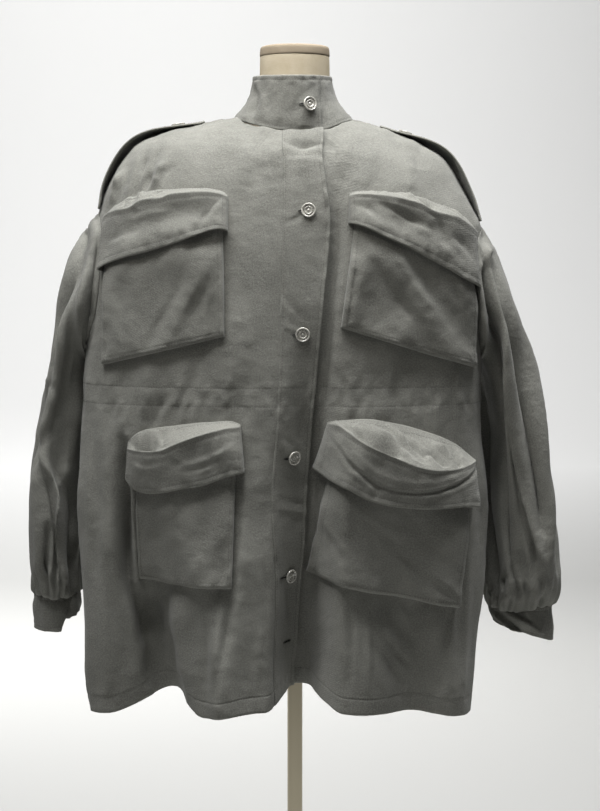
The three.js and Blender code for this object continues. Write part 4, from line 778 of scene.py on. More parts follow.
def bagPoint(pocket, share, row, inset):
    # row 0 is its mouth and 1 its foot; an inner skin is inset by the wall
    down = 1 - (1 - row) ** bagShape["rowPower"]
    outer = mix(pocket["outer"], pocket["outerFoot"], down) - inset
    inner = mix(pocket["inner"], pocket["innerFoot"], down) + inset
    mouth = mix(pocket["mouthOuter"], pocket["mouthInner"], share)
    foot = mix(pocket["footOuter"], pocket["footInner"], share) + inset
    power = mix(bagShape["mouthBow"], bagShape["footBow"], ease((down - 0.2) / 0.35))
    deep = mix(pocket["mouthDepth"], pocket["depth"], ease((down - 0.25) / 0.5)) - inset
    full = bow(share, power) * np.maximum(0, 1 - down**36) ** (1 / 4.5)
    x = pocket["side"] * mix(outer, inner, share)
    z = mix(mouth, foot, down)
    place, way = layOn(x, z, sideName(pocket["side"]))
    flat = np.stack([x, z], axis=-1)
    slanted = flat @ np.array([[0.8, 0.25], [0.6 * pocket["side"], 0.2]])
    toEdge = np.minimum(np.minimum(share, 1 - share) * bagShape["width"], (1 - down) * bagShape["height"])
    push = creases(flat, bagCreases[pocket["name"]], 70)
    push += 0.7 * waves(flat, 75, 71) + 0.12 * waves(flat, 18, 72) + 0.45 * waves(slanted, 30, 74)
    push += 0.18 * waves(flat, 13, 73) * bell((toEdge - 6) / 9)
    push += 0.25 * bell((toEdge - 4.5) / 3.2) - 0.3 * bell((toEdge - 7) / 2)
    return place + way * (laidGap + deep * full + push * ease(full * 1.6))[..., None]


def flapLine(name, which, share):
    # the x and z of one of a flap's three lines, from its outer end inwards
    points = np.array(flapLines[name][which], float)
    shares = np.linspace(0, 1, 81)
    x = mix(points[-1, 0], points[0, 0], shares)
    line = smoothLine(points, 8)
    z = np.interp(x, line[:, 0], line[:, 1])
    for _ in range(2):
        z[1:-1] = 0.25 * z[:-2] + 0.5 * z[1:-1] + 0.25 * z[2:]
    return np.interp(share, shares, x), np.interp(share, shares, z)


def flapPoint(pocket, share, row, inset):
    # row 0 is its seam, 1 its lid's edge, 2 the foot of its hanging band
    name = pocket["name"]
    lid = np.minimum(1, row)
    band = np.maximum(0, row - 1)
    (seamX, seamZ), (ridgeX, ridgeZ), (footX, footZ) = (
        flapLine(name, which, share) for which in ("seam", "ridge", "foot"))
    ridgeZ = np.minimum(ridgeZ, seamZ - flapShape["leastLid"])
    footZ = np.minimum(footZ, ridgeZ - flapShape["leastBand"])
    x = pocket["side"] * (mix(mix(seamX, ridgeX, lid), footX, band) - inset * (1 - 2 * share))
    z = mix(mix(seamZ, ridgeZ, lid), footZ, band) - inset * (1 - band)
    deep = mix(pocket["flapDepth"] * lid ** flapShape["lidPower"], pocket["footDepth"], band) - inset * lid
    full = bow(share, mix(flapShape["lidBow"], flapShape["bandBow"], band))
    place, way = layOn(x, z, sideName(pocket["side"]))
    flat = np.stack([x, z], axis=-1)
    onLid = ease(row * 4) * ease((1 - row) * 11)
    dip = creases(flat, lidFolds[name], 85) * onLid
    dip += 0.9 * waves(flat, 13, 83, 0.3) * np.exp(-lid * 2.2) * ease(lid * 5) * onLid
    push = creases(flat, flapCreases[name], 80) * ease((row - 0.97) * 12)
    push += 0.5 * waves(flat, 60, 81) + 0.15 * waves(flat, 20, 82)
    hollow = bell((band - flapShape["hollowRow"]) / 0.4) * bell((share - flapShape["hollowShare"]) / 0.6)
    push -= pocket["bandHollow"] * hollow
    push += 0.7 * bell((row - 1) / 0.06) - 0.5 * bell((row - 1.1) / 0.05)
    push += 0.3 * waves(flat, 11, 84, 0.4) * ease((row - 1.6) / 0.3)
    push -= 0.25 * bell((row - 1.88) / 0.035)
    place = place + way * (laidGap + deep * full + push * ease(full * 2))[..., None]
    place[..., 2] += dip * ease(full * 1.5)
    return place


def gussetShares(columns):
    # columns lie closer together at both gussets
    even = np.linspace(0, 1, columns + 1)
    shares = 0.5 - 0.5 * np.cos(math.pi * even) * (0.9 + 0.1 * np.abs(2 * even - 1))
    return (shares - shares[0]) / (shares[-1] - shares[0])


bagRows = np.concatenate([np.linspace(0, 0.8, 34), np.linspace(0.82, 1, 17)])
flapRows = np.concatenate([
    np.linspace(0, 0.88, 26), [0.905, 0.93, 0.955, 0.98, 1.0, 1.025, 1.05, 1.08, 1.1, 1.14],
    np.linspace(1.18, 1.82, 21), [1.84, 1.865, 1.88, 1.895, 1.92, 1.96, 2.0]])
pieces = {}
for name, values in pockets.items():
    pocket = dict(zip(pocketKeys, values), name=name)
    for kind, pointAt, rows, shape in (("Bag", bagPoint, bagRows, bagShape),
                                       ("Flap", flapPoint, flapRows, flapShape)):
        shares = gussetShares(shape["columns"])
        share, row = np.meshgrid(shares, rows)
        outer = pointAt(pocket, share, row, 0)
        shell(name + kind, outer, inner=pointAt(pocket, share, row, shape["wall"]))
        pieces[name + kind] = {"outer": outer, "shares": shares, "rows": rows}
print("pockets")


# Sleeves
sleeveTables = {
    -1: {"zOuter": [1242, 1228, 1200, 1150, 1096, 1030, 962, 884, 806, 744],
         "zInner": [1056, 1049, 1040, 1026, 1004, 968, 922, 862, 796, 740],
         "outer": [282, 294, 310, 327, 343, 357, 372, 384, 387, 388],
         "inner": [299, 302, 304, 305, 306, 306, 305, 303, 302, 304],
         "front": [-60, -68, -66, -58, -50, -44, -40, -38, -37, -30],
         "back": [66, 84, 98, 110, 119, 127, 131, 132, 130, 122]},
    1: {"zOuter": [1225, 1210, 1178, 1125, 1062, 994, 924, 850, 780, 724],
        "zInner": [1051, 1044, 1034, 1016, 990, 948, 898, 838, 774, 721],
        "outer": [260, 269, 282, 301, 320, 336, 351, 366, 377, 382],
        "inner": [258, 261, 264, 265, 266, 268, 271, 272, 271, 270],
        "front": [-60, -70, -68, -60, -52, -46, -42, -40, -36, -28],
        "back": [66, 84, 98, 108, 114, 118, 120, 118, 112, 102]},
}
# around (degrees from the outer side over the front), turn, foot, top, depth, width
sleeveFolds = [
    (48, 20, 720, 1150, 9, 30), (92, 16, 720, 1120, -13, 30), (20, 4, 720, 1060, -6, 20),
    (215, 10, 720, 1080, -9, 30), (275, -14, 720, 1140, -12, 32), (320, -10, 720, 1120, 7, 28),
]
sleeveCreases = {
    -1: [
        (12.5, 14, [(-305, 1196), (-313, 1160), (-319, 1118), (-329, 1055), (-340, 995), (-348, 960),
                    (-362, 926)]),
        (8.9, -22.2, [(-300, 1214), (-309, 1170), (-321, 1128), (-332, 1085), (-340, 1040), (-348, 1000)]),
        (7.1, 12.3, [(-366, 915), (-356, 886), (-344, 850), (-339, 806), (-339, 765), (-333, 725)]),
        (11.6, -19.8, [(-334, 850), (-327, 790), (-323, 736), (-326, 705)]),
        (12.5, -19.8, [(-283, 1180), (-291, 1079), (-299, 981), (-304, 868), (-307, 755), (-309, 700)]),
        (9.8, 8.8, [(-279, 1214), (-288, 1130), (-296, 1037), (-312, 960), (-320, 880)]),
        (8, -12.3, [(-352, 1000), (-366, 950), (-373, 880)]),
        (5.4, -7.8, [(-345, 700), (-345, 730), (-341, 766)]),
        (6.3, -14.8, [(-356, 700), (-356, 745), (-352, 800)]),
    ],
    1: [
        (8.9, 10.5, [(272, 1190), (293, 1121), (321, 1033), (339, 929), (357, 830), (362, 760)]),
        (8.9, -19.8, [(268, 1180), (287, 1098), (308, 1013), (321, 929), (335, 854), (344, 795)]),
        (9.8, 14, [(262, 1190), (271, 1150), (284, 1075), (297, 995), (311, 900), (332, 802), (350, 742)]),
        (12.5, -27.2, [(259, 1160), (267, 1110), (277, 1013), (287, 920), (294, 830), (305, 745),
                       (310, 705)]),
        (12.5, -19.8, [(262, 1000), (267, 930), (273, 830), (280, 700)]),
        (7.1, -12.3, [(322, 830), (336, 770), (342, 720)]),
        (4.4, -5.8, [(303, 740), (310, 714), (316, 690)]),
        (4.4, -5.8, [(297, 733), (294, 714), (293, 695)]),
        (4.4, -5.8, [(321, 724), (324, 704), (325, 687)]),
        (4.4, -5.8, [(347, 739), (347, 714), (346, 690)]),
        (8, -7.4, [(314, 979), (329, 894), (346, 813)]),
    ],
}
# where the sleeve falls back beside the body
sleeveGaps = {
    -1: [(15, 32, [(-303, 930), (-307, 860), (-312, 790), (-317, 730), (-318, 700)])],
    1: [(21, 46, [(262, 1040), (266, 980), (276, 915), (281, 840), (289, 770), (291, 715)])],
}
cuffs = {
    -1: {"z": 692, "outer": 384, "inner": 318, "front": 0, "back": 100, "height": 49, "tilt": 0, "flare": 1},
    1: {"z": 673, "outer": 371, "inner": 279, "front": 14, "back": 82, "height": 36, "tilt": 28, "flare": 3},
}
ringKeys = ("zOuter", "zInner", "outer", "inner", "front", "back")
around = 2 * bodyRows["armSteps"]
degrees = 360 * np.arange(around) / around


def ovalPoint(ring, side, angle):
    # the angle runs from the outer side over the front
    turn = np.radians(angle)
    outward = (1 + np.cos(turn)) / 2
    middleY = (ring["front"] + ring["back"]) / 2
    halfY = (ring["back"] - ring["front"]) / 2
    x = side * mix(ring["inner"], ring["outer"], outward)
    z = mix(ring["zInner"], ring["zOuter"], outward)
    return np.stack([x, middleY - halfY * np.sin(turn), z], axis=-1)


def ovalWay(place, ring, side):
    # level, from a ring's middle to each of its points
    middle = [side * (ring["outer"] + ring["inner"]) / 2, (ring["front"] + ring["back"]) / 2]
    return unit(place[..., :2] - np.stack(middle, axis=-1))


def tubeWays(place):
    # out of a closed tube of rings
    return gridWays(place, place - place.mean(axis=1, keepdims=True), closed=True)


def bandWays(place):
    # out of a band that goes round once
    return gridWays(place, place - place.mean(axis=(0, 1)))


def sleevePush(angle, z):
    push = np.zeros(np.broadcast(angle, z).shape)
    for at, turn, foot, top, depth, width in sleeveFolds:
        rise = np.clip((z - foot) / (top - foot), 0, 1)
        distance = (angle - at - turn * rise + 540) % 360 - 180
        push += depth * np.sin(math.pi * np.sqrt(rise * 0.98 + 0.01)) * bell(distance / width)
    return push


def bodySideReach(side, y, z):
    # how far out the body's side stands at a place
    level = levelAt("z" + sideName(side).capitalize(), z)
    sideY = column(bodyTable["sideY"], level)
    depth = np.where(y < sideY, column(bodyTable["front"], level) + sideY,
                     column(bodyTable["back"], level) - sideY)
    power = column(bodyTable["power"], level)
    share = np.minimum(1, np.abs(y - sideY) / depth)
    return column(bodyTable[sideName(side)], level) * (1 - share**power) ** (1 / power)


def armholeLoop(side):
    # the armhole's edge down the front and up the back, the cloth's way out and the way into the hole
    end = 0 if side < 0 else -1
    front, behind = panels[sideName(side)], panels["back"]
    edge, normal = (
        np.concatenate([front[key][armRow:armEnd + 1, end][::-1], behind[key][armRow + 1:armEnd, end]])
        for key in ("place", "ways"))
    for _ in range(3):
        normal = unit(np.roll(normal, 1, axis=0) + 2 * normal + np.roll(normal, -1, axis=0))
    run = np.roll(edge, -1, axis=0) - np.roll(edge, 1, axis=0)
    out = unit(np.cross(run, normal))
    facing = np.sign((out * (edge.mean(0) - edge)).sum(-1, keepdims=True))
    return edge, normal, out * facing


sleeveShape = {
    "lowRings": 16, "sewn": 0.32, "gatherReach": 34, "gatherDepth": 13, "roomInHole": 1.4, "room": 3.6,
    "tuck": 15, "tuckAt": 222, "tuckWide": 62, "tuckTop": 1075, "tuckRoom": 3.4, "cuffLap": 0.4,
}


def clearOfBody(place, side, edge, grown):
    # moves what would lie in the body's side out of it, but for what runs into the armhole
    tipZ = edge[0, 2]
    _, pitY, pitZ = edge[bodyRows["armSteps"]]
    height = np.clip((place[..., 2] - pitZ) / (tipZ - pitZ), 0, 1)
    hollow = bow(height, 2)
    fromSide = place[..., 1] - pitY
    beyond = np.maximum(-fromSide - armholeWide["front"] * hollow, fromSide - armholeWide["back"] * hollow)
    beyond = np.maximum(beyond, pitZ - place[..., 2])
    room = mix(sleeveShape["roomInHole"], sleeveShape["room"], np.clip(beyond / 6, 0, 1)) * grown
    reach = bodySideReach(side, place[..., 1], place[..., 2]) + room
    short = np.maximum(0, reach - side * place[..., 0])
    place[..., 0] += side * short * ease((beyond + 10) / 8) * ease((0.86 - height) / 0.08)
    return place


def sleeveRings(side, edge, out):
    # rings of points from the armhole's edge down to the cuff's seam, with the large folds
    table, cuff = sleeveTables[side], cuffs[side]
    angle = degrees[None, :]
    firstRing = {key: column(table[key], 0.0) for key in ringKeys}
    away = edge - ovalPoint(firstRing, side, degrees)
    last = len(table["zOuter"]) - 1
    at = np.concatenate([np.linspace(0, 1, 15)[1:], np.linspace(1, last, 112)[1:]])[:, None]
    ring = {key: column(table[key], at) for key in ringKeys}
    place = ovalPoint(ring, side, angle) + away[None] * (1 - ease(at / 3))[..., None]
    push = sleevePush(angle, place[..., 2]) * ease(at / 0.8)
    place[..., :2] += ovalWay(place, ring, side) * push[..., None]
    # the inner side closes in behind the body's side
    tuck = sleeveShape["tuck"] * bell((angle - sleeveShape["tuckAt"]) / sleeveShape["tuckWide"])
    tuck = tuck * ease((sleeveShape["tuckTop"] - place[..., 2]) / 90)
    nearest = bodySideReach(side, place[..., 1], place[..., 2]) + sleeveShape["tuckRoom"]
    place[..., 0] = side * np.maximum(np.minimum(nearest, side * place[..., 0]), side * place[..., 0] - tuck)
    place = clearOfBody(place, side, edge, ease(at / 0.6))
    # from the last row of the table the rings narrow to the cuff's seam
    end = dict(cuff, zOuter=cuff["z"] + sleeveShape["cuffLap"], zInner=cuff["z"] + sleeveShape["cuffLap"])
    down = np.linspace(0, 1, sleeveShape["lowRings"] + 1)[1:, None]
    ring = {key: mix(table[key][-1], end[key], down if key[0] == "z" else down**2.2) for key in ringKeys}
    low = ovalPoint(ring, side, angle)
    push = sleevePush(angle, low[..., 2]) * (1 - down)
    low[..., :2] += ovalWay(low, ring, side) * push[..., None]
    low = clearOfBody(low, side, edge, np.ones_like(down))
    return np.concatenate([(edge + out * sleeveShape["sewn"])[None], place, low])


def sleeveDetail(side, place):
    # small folds as seen from the front, and mirrored ones on the hidden side
    ways = tubeWays(place)
    z = place[..., 2]
    row = np.arange(len(place))[:, None]
    places = np.stack([place[..., 0], z], axis=-1)
    other = np.stack([place[..., 0] + side * 9, z - 26], axis=-1)
    shown = ease((0.15 - ways[..., 1]) / 0.3)
    push = creases(places, sleeveCreases[side], 90) * shown
    push += 0.8 * creases(other, sleeveCreases[side], 91) * (1 - shown)
    push += 1.6 * waves(place, 46, 92 + side, 0.2) + 0.5 * waves(place, 20, 94, 0.25)
    # gathers of full ridges with narrow valleys between them, which grow down to the cuff's seam
    phase = np.radians(degrees)[None, :] + 0.012 * waves(place, 60, 95)
    ridges = np.abs(np.cos(8.5 * phase + 1.1 * np.sin(2 * phase) + side)) ** 0.7
    ridges += 0.4 * np.abs(np.cos(13.5 * phase + 1.6 * np.sin(3 * phase))) ** 0.8
    above = np.maximum(0, z - cuffs[side]["z"])
    long = np.exp(-above / sleeveShape["gatherReach"]) * mix(0.25, 1, ease(above / 8))
    uneven = 0.75 + 0.4 * np.sin(5 * phase + 2 * side)
    gather = sleeveShape["gatherDepth"] * (ridges - 0.85) * long * uneven
    # the head's seam is quiet but for a fine pucker
    nearSeam = ease(row / 9)
    headPucker = 0.7 * waves(place, 13, 97) * np.exp(-row / 7) * ease(row / 3)
    place = place + ways * (push * nearSeam + gather + headPucker)[..., None]
    room = ease((place[..., 1].mean(axis=1, keepdims=True) - place[..., 1]) / 40)
    place[..., 1] += creases(places, sleeveGaps[side], 96) * room * nearSeam
    return place


def makeSleeve(side):
    edge, normal, out = armholeLoop(side)
    place = sleeveDetail(side, sleeveRings(side, edge, out))
    # the wall's thickness turns with the way that the sleeve leaves the armhole
    leaving = place[3] - edge
    along, sideways = ((leaving * way).sum(-1, keepdims=True) for way in (normal, out))
    inward = unit(out * along - normal * sideways)
    turning = ease(np.arange(len(place)) / 6)[:, None, None]
    ways = unit(mix(-inward[None], tubeWays(place), turning))
    place[0] += inward * sleeveShape["sewn"]
    return place, ways


for side in (-1, 1):
    place, ways = makeSleeve(side)
    row = np.arange(len(place))[:, None]
    worn = np.exp(-np.minimum(row, row[::-1]) / 1.5) * np.ones((1, around))
    shell(sideName(side) + "Sleeve", place, ways, closed=True, wear=worn)
print("sleeves")

# Cuffs: one band each, open at its slit, where one end laps over the other
cuffShape = {"wall": 2.6, "slit": {-1: (133, 105), 1: (30, 33)}, "stitchRows": (4, 17), "under": 5,
             "raised": 18, "slanted": 21}
cuffDown = np.array([0, 0.02, 0.05, 0.08, 0.1, 0.12, 0.16, 0.22, 0.3, 0.38, 0.46, 0.54, 0.62, 0.7, 0.78,
                     0.84, 0.88, 0.9, 0.92, 0.95, 0.98, 1.0])


def cuffPoint(side, angle, share):
    cuff = cuffs[side]
    # the right cuff's lower layer starts inside the upper one and is cut higher
    under = cuffShape["under"] * ease((150 - angle) / 24) if side < 0 else 0
    ring = {
        "zOuter": cuff["z"] - share * (cuff["height"] + cuff["tilt"] / 2),
        "zInner": cuff["z"] - share * (cuff["height"] - cuff["tilt"] / 2),
        "outer": cuff["outer"] + cuff["flare"] * share - under,
        "inner": cuff["inner"] + 2 * cuff["flare"] * share + under,
        "front": cuff["front"] - 2 * share + under, "back": cuff["back"] - 2 * share - under}
    place = ovalPoint(ring, side, angle)
    if side < 0:
        place[..., 2] += cuffShape["raised"] * share * ease((252 - angle) / 40)
    return place


# the left cuff is turned: folds run across it from its inner upper corner to its foot
cuffFolds = [
    (6, -8, [(278, 672), (300, 657), (322, 640), (361, 624)]),
    (5, 5, [(298, 670), (325, 657), (352, 638)]),
    (4, 3.5, [(303, 640), (328, 626)]),
]


def makeCuff(side):
    start, end = cuffShape["slit"][side]
    sweep = np.concatenate([np.linspace(end, end + 8, 6)[:-1], np.linspace(end + 8, start + 352, 104),
                            np.linspace(start + 352, start + 360, 6)[1:]])
    angle, share = np.meshgrid(sweep, cuffDown)
    if side < 0:
        angle = angle - cuffShape["slanted"] * share * ease((angle - 440) / 50)
    place = cuffPoint(side, angle, share)
    push = 0.9 * waves(place, 30, 110 + side, 0.6) + 0.35 * waves(place, 11, 112)
    push += 1.6 * bell((share - 0.5) / 0.5)
    gather = np.cos(np.radians(17 * angle) + 1.3 * np.sin(np.radians(2 * angle)) + side)
    push += 0.9 * gather * np.exp(-share * 6)
    push -= 0.4 * bell((share - 0.1) / 0.03) + 0.4 * bell((share - 0.9) / 0.03)
    if side > 0:
        front = ease((place[..., 1].mean() - place[..., 1]) / 20)
        push += creases(place[..., (0, 2)], cuffFolds, 131) * front
    place = place + bandWays(place) * push[..., None]
    return place, bandWays(place)


cuffPieces = {side: makeCuff(side) for side in (-1, 1)}
for side, (place, ways) in cuffPieces.items():
    shell(sideName(side) + "Cuff", place, ways, wall=cuffShape["wall"])
print("cuffs")


# Stand collar, from its inner end on the left front round behind the neck to its outer end
collarShape = {
    "underEnd": -16, "outerEnd": 34, "outerTop": 62, "lap": 4, "middleX": -5, "right": 58, "left": 54,
    "front": 60, "back": 64, "topSide": 1430, "topFront": 1426, "topBack": 1438, "footX": 84, "footY": 78,
    "footShift": 12, "columns": 150, "wall": 2.2,
}
collarCreases = [
    (6, -6, [(-62, 1374), (-57, 1392), (-59, 1416)]),
    (5, 3.6, [(-52, 1370), (-47, 1388), (-49, 1406)]),
    (5, -1.6, [(-42, 1376), (-38, 1388), (-40, 1398)]),
    (10, -1.3, [(-4, 1366), (-2, 1384), (2, 1400)]),
    (7, -1.2, [(22, 1366), (26, 1380), (30, 1398)]),
    (9, 1.4, [(-28, 1362), (-24, 1380), (-22, 1398)]),
]


def collarPoint(share, up):
    start = turnAtX(collarShape["underEnd"], neck)
    end = turnAtX(mix(collarShape["outerEnd"], collarShape["outerTop"], up), neck)
    travelled = mix(start, 4 + end, share)
    turn = np.where(travelled <= 2, travelled, travelled - 4)
    base = bodyPoint(turn, neck)[0]
    baseOut = bodyNormal(turn, neck)
    lap = collarShape["lap"] * (1 - ease((travelled - end) * 3.2))
    angle = np.arctan2((base[..., 0] - collarShape["middleX"]) / collarShape["footX"],
                       -(base[..., 1] + collarShape["footShift"]) / collarShape["footY"])
    sine, cosine = np.sin(angle), np.cos(angle)
    reachX = np.where(np.sin(turn * math.pi / 2) < 0, collarShape["right"], collarShape["left"])
    reachY = np.where(np.cos(turn * math.pi / 2) > 0, collarShape["front"], collarShape["back"])
    topZ = mix(collarShape["topSide"], collarShape["topFront"], np.maximum(0, cosine) ** 2)
    topZ = mix(topZ, collarShape["topBack"], np.maximum(0, -cosine) ** 2)
    top = np.stack([collarShape["middleX"] + reachX * sine, -reachY * cosine - 2, topZ], axis=-1)
    foot = base + np.array([0, 0, 0.69])
    rise = ease(up * 0.9) * 0.35 + 0.65 * up
    inward = 0.82 * (1 - (1 - rise) ** 2.7) + 0.18 * rise
    # the front stands up off its seam and leans back only a little, the rest closes in on the neck
    leaning = mix(inward, 0.1 * rise**2, ease(cosine * 1.6))
    place = np.stack([mix(foot[..., 0], top[..., 0], inward), mix(foot[..., 1], top[..., 1], leaning),
                      mix(foot[..., 2], top[..., 2], up)], axis=-1)
    flat = np.stack([sine, -cosine, 0 * sine], axis=-1)
    outward = unit(mix(baseOut, flat, ease(up * 4)[..., None]))
    return place - outward * lap[..., None]


collarShares = np.concatenate([
    np.linspace(0, 0.02, 5)[:-1], np.linspace(0.02, 0.98, collarShape["columns"]),
    np.linspace(0.98, 1, 6)[1:]])
collarUps = np.array([0, 0.02, 0.045, 0.06, 0.08, 0.11, 0.15, 0.2, 0.26, 0.33, 0.4, 0.47, 0.54, 0.61, 0.68,
                      0.74, 0.8, 0.85, 0.885, 0.905, 0.92, 0.935, 0.955, 0.98, 1.0])
share, up = np.meshgrid(collarShares, collarUps)
collarGrid = collarPoint(share, up)
collarWays = bandWays(collarGrid)
push = creases(collarGrid[..., (0, 2)], collarCreases, 120) * ease((-collarGrid[..., 1] - 10) / 30)
push += 0.5 * waves(collarGrid, 40, 121) + 0.25 * waves(collarGrid, 12, 122)
push += 0.45 * waves(collarGrid, 11, 123, 0.3) * (bell((1 - up) / 0.3) + bell(up / 0.25))
push -= 0.4 * bell((up - 0.92) / 0.035) + 0.4 * bell((up - 0.06) / 0.04)
collarGrid = collarGrid + collarWays * (push * ease(up / 0.12))[..., None]
collar = shell("standCollar", collarGrid, collarWays, wall=collarShape["wall"])
print("collar")


def meshTree(*made):
    points, faces = [], []
    total = 0
    for one in made:
        points += [tuple(v.co) for v in one.data.vertices]
        faces += [tuple(i + total for i in face.vertices) for face in one.data.polygons]
        total = len(points)
    return BVHTree.FromPolygons(points, faces)


def dropOn(tree, place, way):
    # where a ray from a place (mm) along a way meets a surface first, with the surface's normal
    hit, normal, _, _ = tree.ray_cast(tuple(np.asarray(place) * mm), tuple(way))
    if hit is None:
        return None, None
    return np.array(hit) / mm, np.array(normal)


# Shoulder straps
strapShape = {"start": point + 0.12, "end": 11.4, "width": 46, "lift": 9, "shift": -2, "wall": 2.2,
              "rest": 1.8, "humpAt": 0.46, "tipFrom": 0.9, "tipNarrow": 0.32, "button": 10 / 12}
strapShares = np.concatenate([np.linspace(0, strapShape["tipFrom"], 58), np.linspace(0.91, 1, 10)])
strapAcross = np.array([-1, -0.985, -0.95, -0.9, -0.85, -0.8, -0.7, -0.56, -0.4, -0.2, 0, 0.2, 0.4, 0.56, 0.7,
                        0.8, 0.85, 0.9, 0.95, 0.985, 1.0])
bodyTree = meshTree(rightFront, leftFront, back)


def makeStrap(side):
    # it humps over the shoulder's seam and rests on the cloth wherever that comes up to it
    level = mix(strapShape["start"], strapShape["end"], strapShares)
    seam = bodyPoint(side * 0.99999, level)[0]
    out = unit(bodyNormal(side * 0.99999, level) * (1, 0, 1))
    hump = strapShape["lift"] * bell(2 * (strapShares - strapShape["humpAt"])) ** 0.7
    pastTip = np.maximum(0, strapShares - strapShape["tipFrom"]) / 0.1
    tip = 1 - strapShape["tipNarrow"] * pastTip**2
    rest = strapShape["rest"] * mix(0.5, 1, ease(strapShares * 6))
    grid = np.zeros((len(strapShares), len(strapAcross), 3))
    for r in range(len(strapShares)):
        for c, over in enumerate(strapAcross):
            x, _, z = seam[r] + out[r] * (rest[r] + hump[r] * (0.58 - 0.56 * over) - 1.2 * over**2)
            y = seam[r, 1] + strapShape["shift"] + over * strapShape["width"] / 2 * tip[r]
            under, _ = dropOn(bodyTree, (x, y, z + 60), (0, 0, -1))
            if under is not None:
                z = max(z, under[2] + strapShape["rest"] + strapShape["wall"] / 2)
            grid[r, c] = (x, y, z)
    ways = gridWays(grid, (0, 0, 1))
    edge = 1 - np.abs(strapAcross)[None, :]
    push = 0.35 * waves(grid, 26, 130 + side) * ease(edge * 4) + 0.5 * bell((edge - 0.1) / 0.16)
    push -= 0.35 * bell((edge - 0.2) / 0.06)
    return grid + ways * push[..., None], ways


straps = {}
for side in (-1, 1):
    grid, ways = makeStrap(side)
    made = shell(sideName(side) + "Strap", grid, ways, wall=strapShape["wall"])
    straps[side] = (made, grid, ways)
print("shoulder straps")


# Buttons, turned from one profile of (radius, height)
buttonProfile = [
    (0, 0), (7.2, 0), (9.2, 0.35), (9.9, 1.1), (10, 2.0), (9.7, 2.85), (9.1, 3.3), (8.4, 3.35), (7.8, 2.7),
    (7.3, 1.8), (6.6, 1.2), (6.0, 1.4), (5.5, 2.4), (5.0, 2.85), (4.5, 2.6), (4.0, 1.8), (3.2, 1.2),
    (2.2, 1.3), (1.7, 2.1), (1.1, 2.6), (0, 2.7),
]


def fanned(name, rings, foot, top):
    # a closed shape of equal rings of points, with a fan of faces at both ends
    count, sides = rings.shape[:2]
    number = 1 + np.arange(count * sides).reshape(count, sides)
    after = np.roll(number, -1, axis=1)
    faces = list(np.stack([number[:-1], after[:-1], after[1:], number[1:]], axis=-1).reshape(-1, 4))
    faces += [(0, b, a) for a, b in zip(number[0], after[0])]
    faces += [(a, b, count * sides + 1) for a, b in zip(number[-1], after[-1])]
    return solid(name, np.concatenate([[foot], rings.reshape(-1, 3), [top]]), faces)


def squareTo(way):
    # two ways square to a third and to each other
    across = unit(np.cross([0, 0, 1.0] if abs(way[2]) < 0.9 else [1.0, 0, 0], way))
    return across, np.cross(way, across)


def turned(name, profile, sides, seat, way):
    # turned round a way from a profile of (radius, height) that starts and ends on the axis
    profile = np.asarray(profile, float)[:, :, None]
    way = unit(np.asarray(way, float))
    across, upward = squareTo(way)
    angle = 2 * math.pi * np.arange(sides)[:, None] / sides
    spokes = np.cos(angle) * across + np.sin(angle) * upward
    rings = np.asarray(seat) + profile[:, :1] * spokes + profile[:, 1:] * way
    return fanned(name, rings[1:-1], rings[0, 0], rings[-1, 0])


buttonSeat = {"radius": 10, "above": 40, "near": 30, "clear": 0.3}


def seatedButton(name, tree, middle, toward):
    # laid flat on the cloth: tilted as the cloth is, and clear of its highest point
    toward = unit(np.asarray(toward, float))
    middle = np.asarray(middle, float)
    across, upward = squareTo(toward)
    hits = []
    for a in np.arange(-3, 4) / 3:
        for b in np.arange(-3, 4) / 3:
            if a * a + b * b > 1.05:
                continue
            spot = middle + (across * a + upward * b) * buttonSeat["radius"]
            hit, _ = dropOn(tree, spot + toward * buttonSeat["above"], -toward)
            if hit is not None and np.linalg.norm(hit - middle) < buttonSeat["near"]:
                hits.append(hit)
    hits = np.array(hits)
    centre = hits.mean(axis=0)
    _, _, axes = np.linalg.svd(hits - centre)
    way = axes[2] if axes[2] @ toward > 0 else -axes[2]
    lift = ((hits - centre) @ way).max() + buttonSeat["clear"]
    turned(name, buttonProfile, 48, centre + way * lift, way)


def fromFront(tree, x, z):
    # the place and the way out of what is seen from the front at (x, z)
    return dropOn(tree, (x, -400, z), (0, 1, 0))


buttonPlaces = {"frontButton1": (15, 1243), "frontButton2": (7, 1077), "frontButton3": (-5, 908),
                "frontButton4": (-11, 742)}
placketTree, collarTree = meshTree(placket), meshTree(collar)
for name, spot in buttonPlaces.items():
    seatedButton(name, placketTree, fromFront(placketTree, *spot)[0], (0, -1, 0))
seatedButton("collarButton", collarTree, fromFront(collarTree, 16, 1387.5)[0], (0.05, -1, 0.08))
for side, (made, grid, ways) in straps.items():
    spot = int(np.argmin(np.abs(strapShares - strapShape["button"]))), len(strapAcross) // 2
    seatedButton(sideName(side) + "StrapButton", meshTree(made), grid[spot], ways[spot])
print("buttons")

# Dress form, neck cap, pole and base
formX = -4
formTable = {
    "z": [676, 684, 735, 800, 890, 970, 1060, 1140, 1200, 1260, 1302.8, 1329.8, 1349.8, 1362.8, 1375, 1410,
          1459.5],
    "wide": [140, 150, 162, 162, 138, 122, 136, 150, 158, 170, 180.4, 168.4, 133.4, 98.4, 64, 51, 48.5],
    "front": [56, 66, 74, 82, 84, 84, 102, 124, 122, 104, 91, 81, 73, 67, 58, 52, 50],
    "back": [84, 94, 102, 102, 84, 76, 84, 92, 94, 88, 79, 71, 63, 58, 51, 47, 45],
}


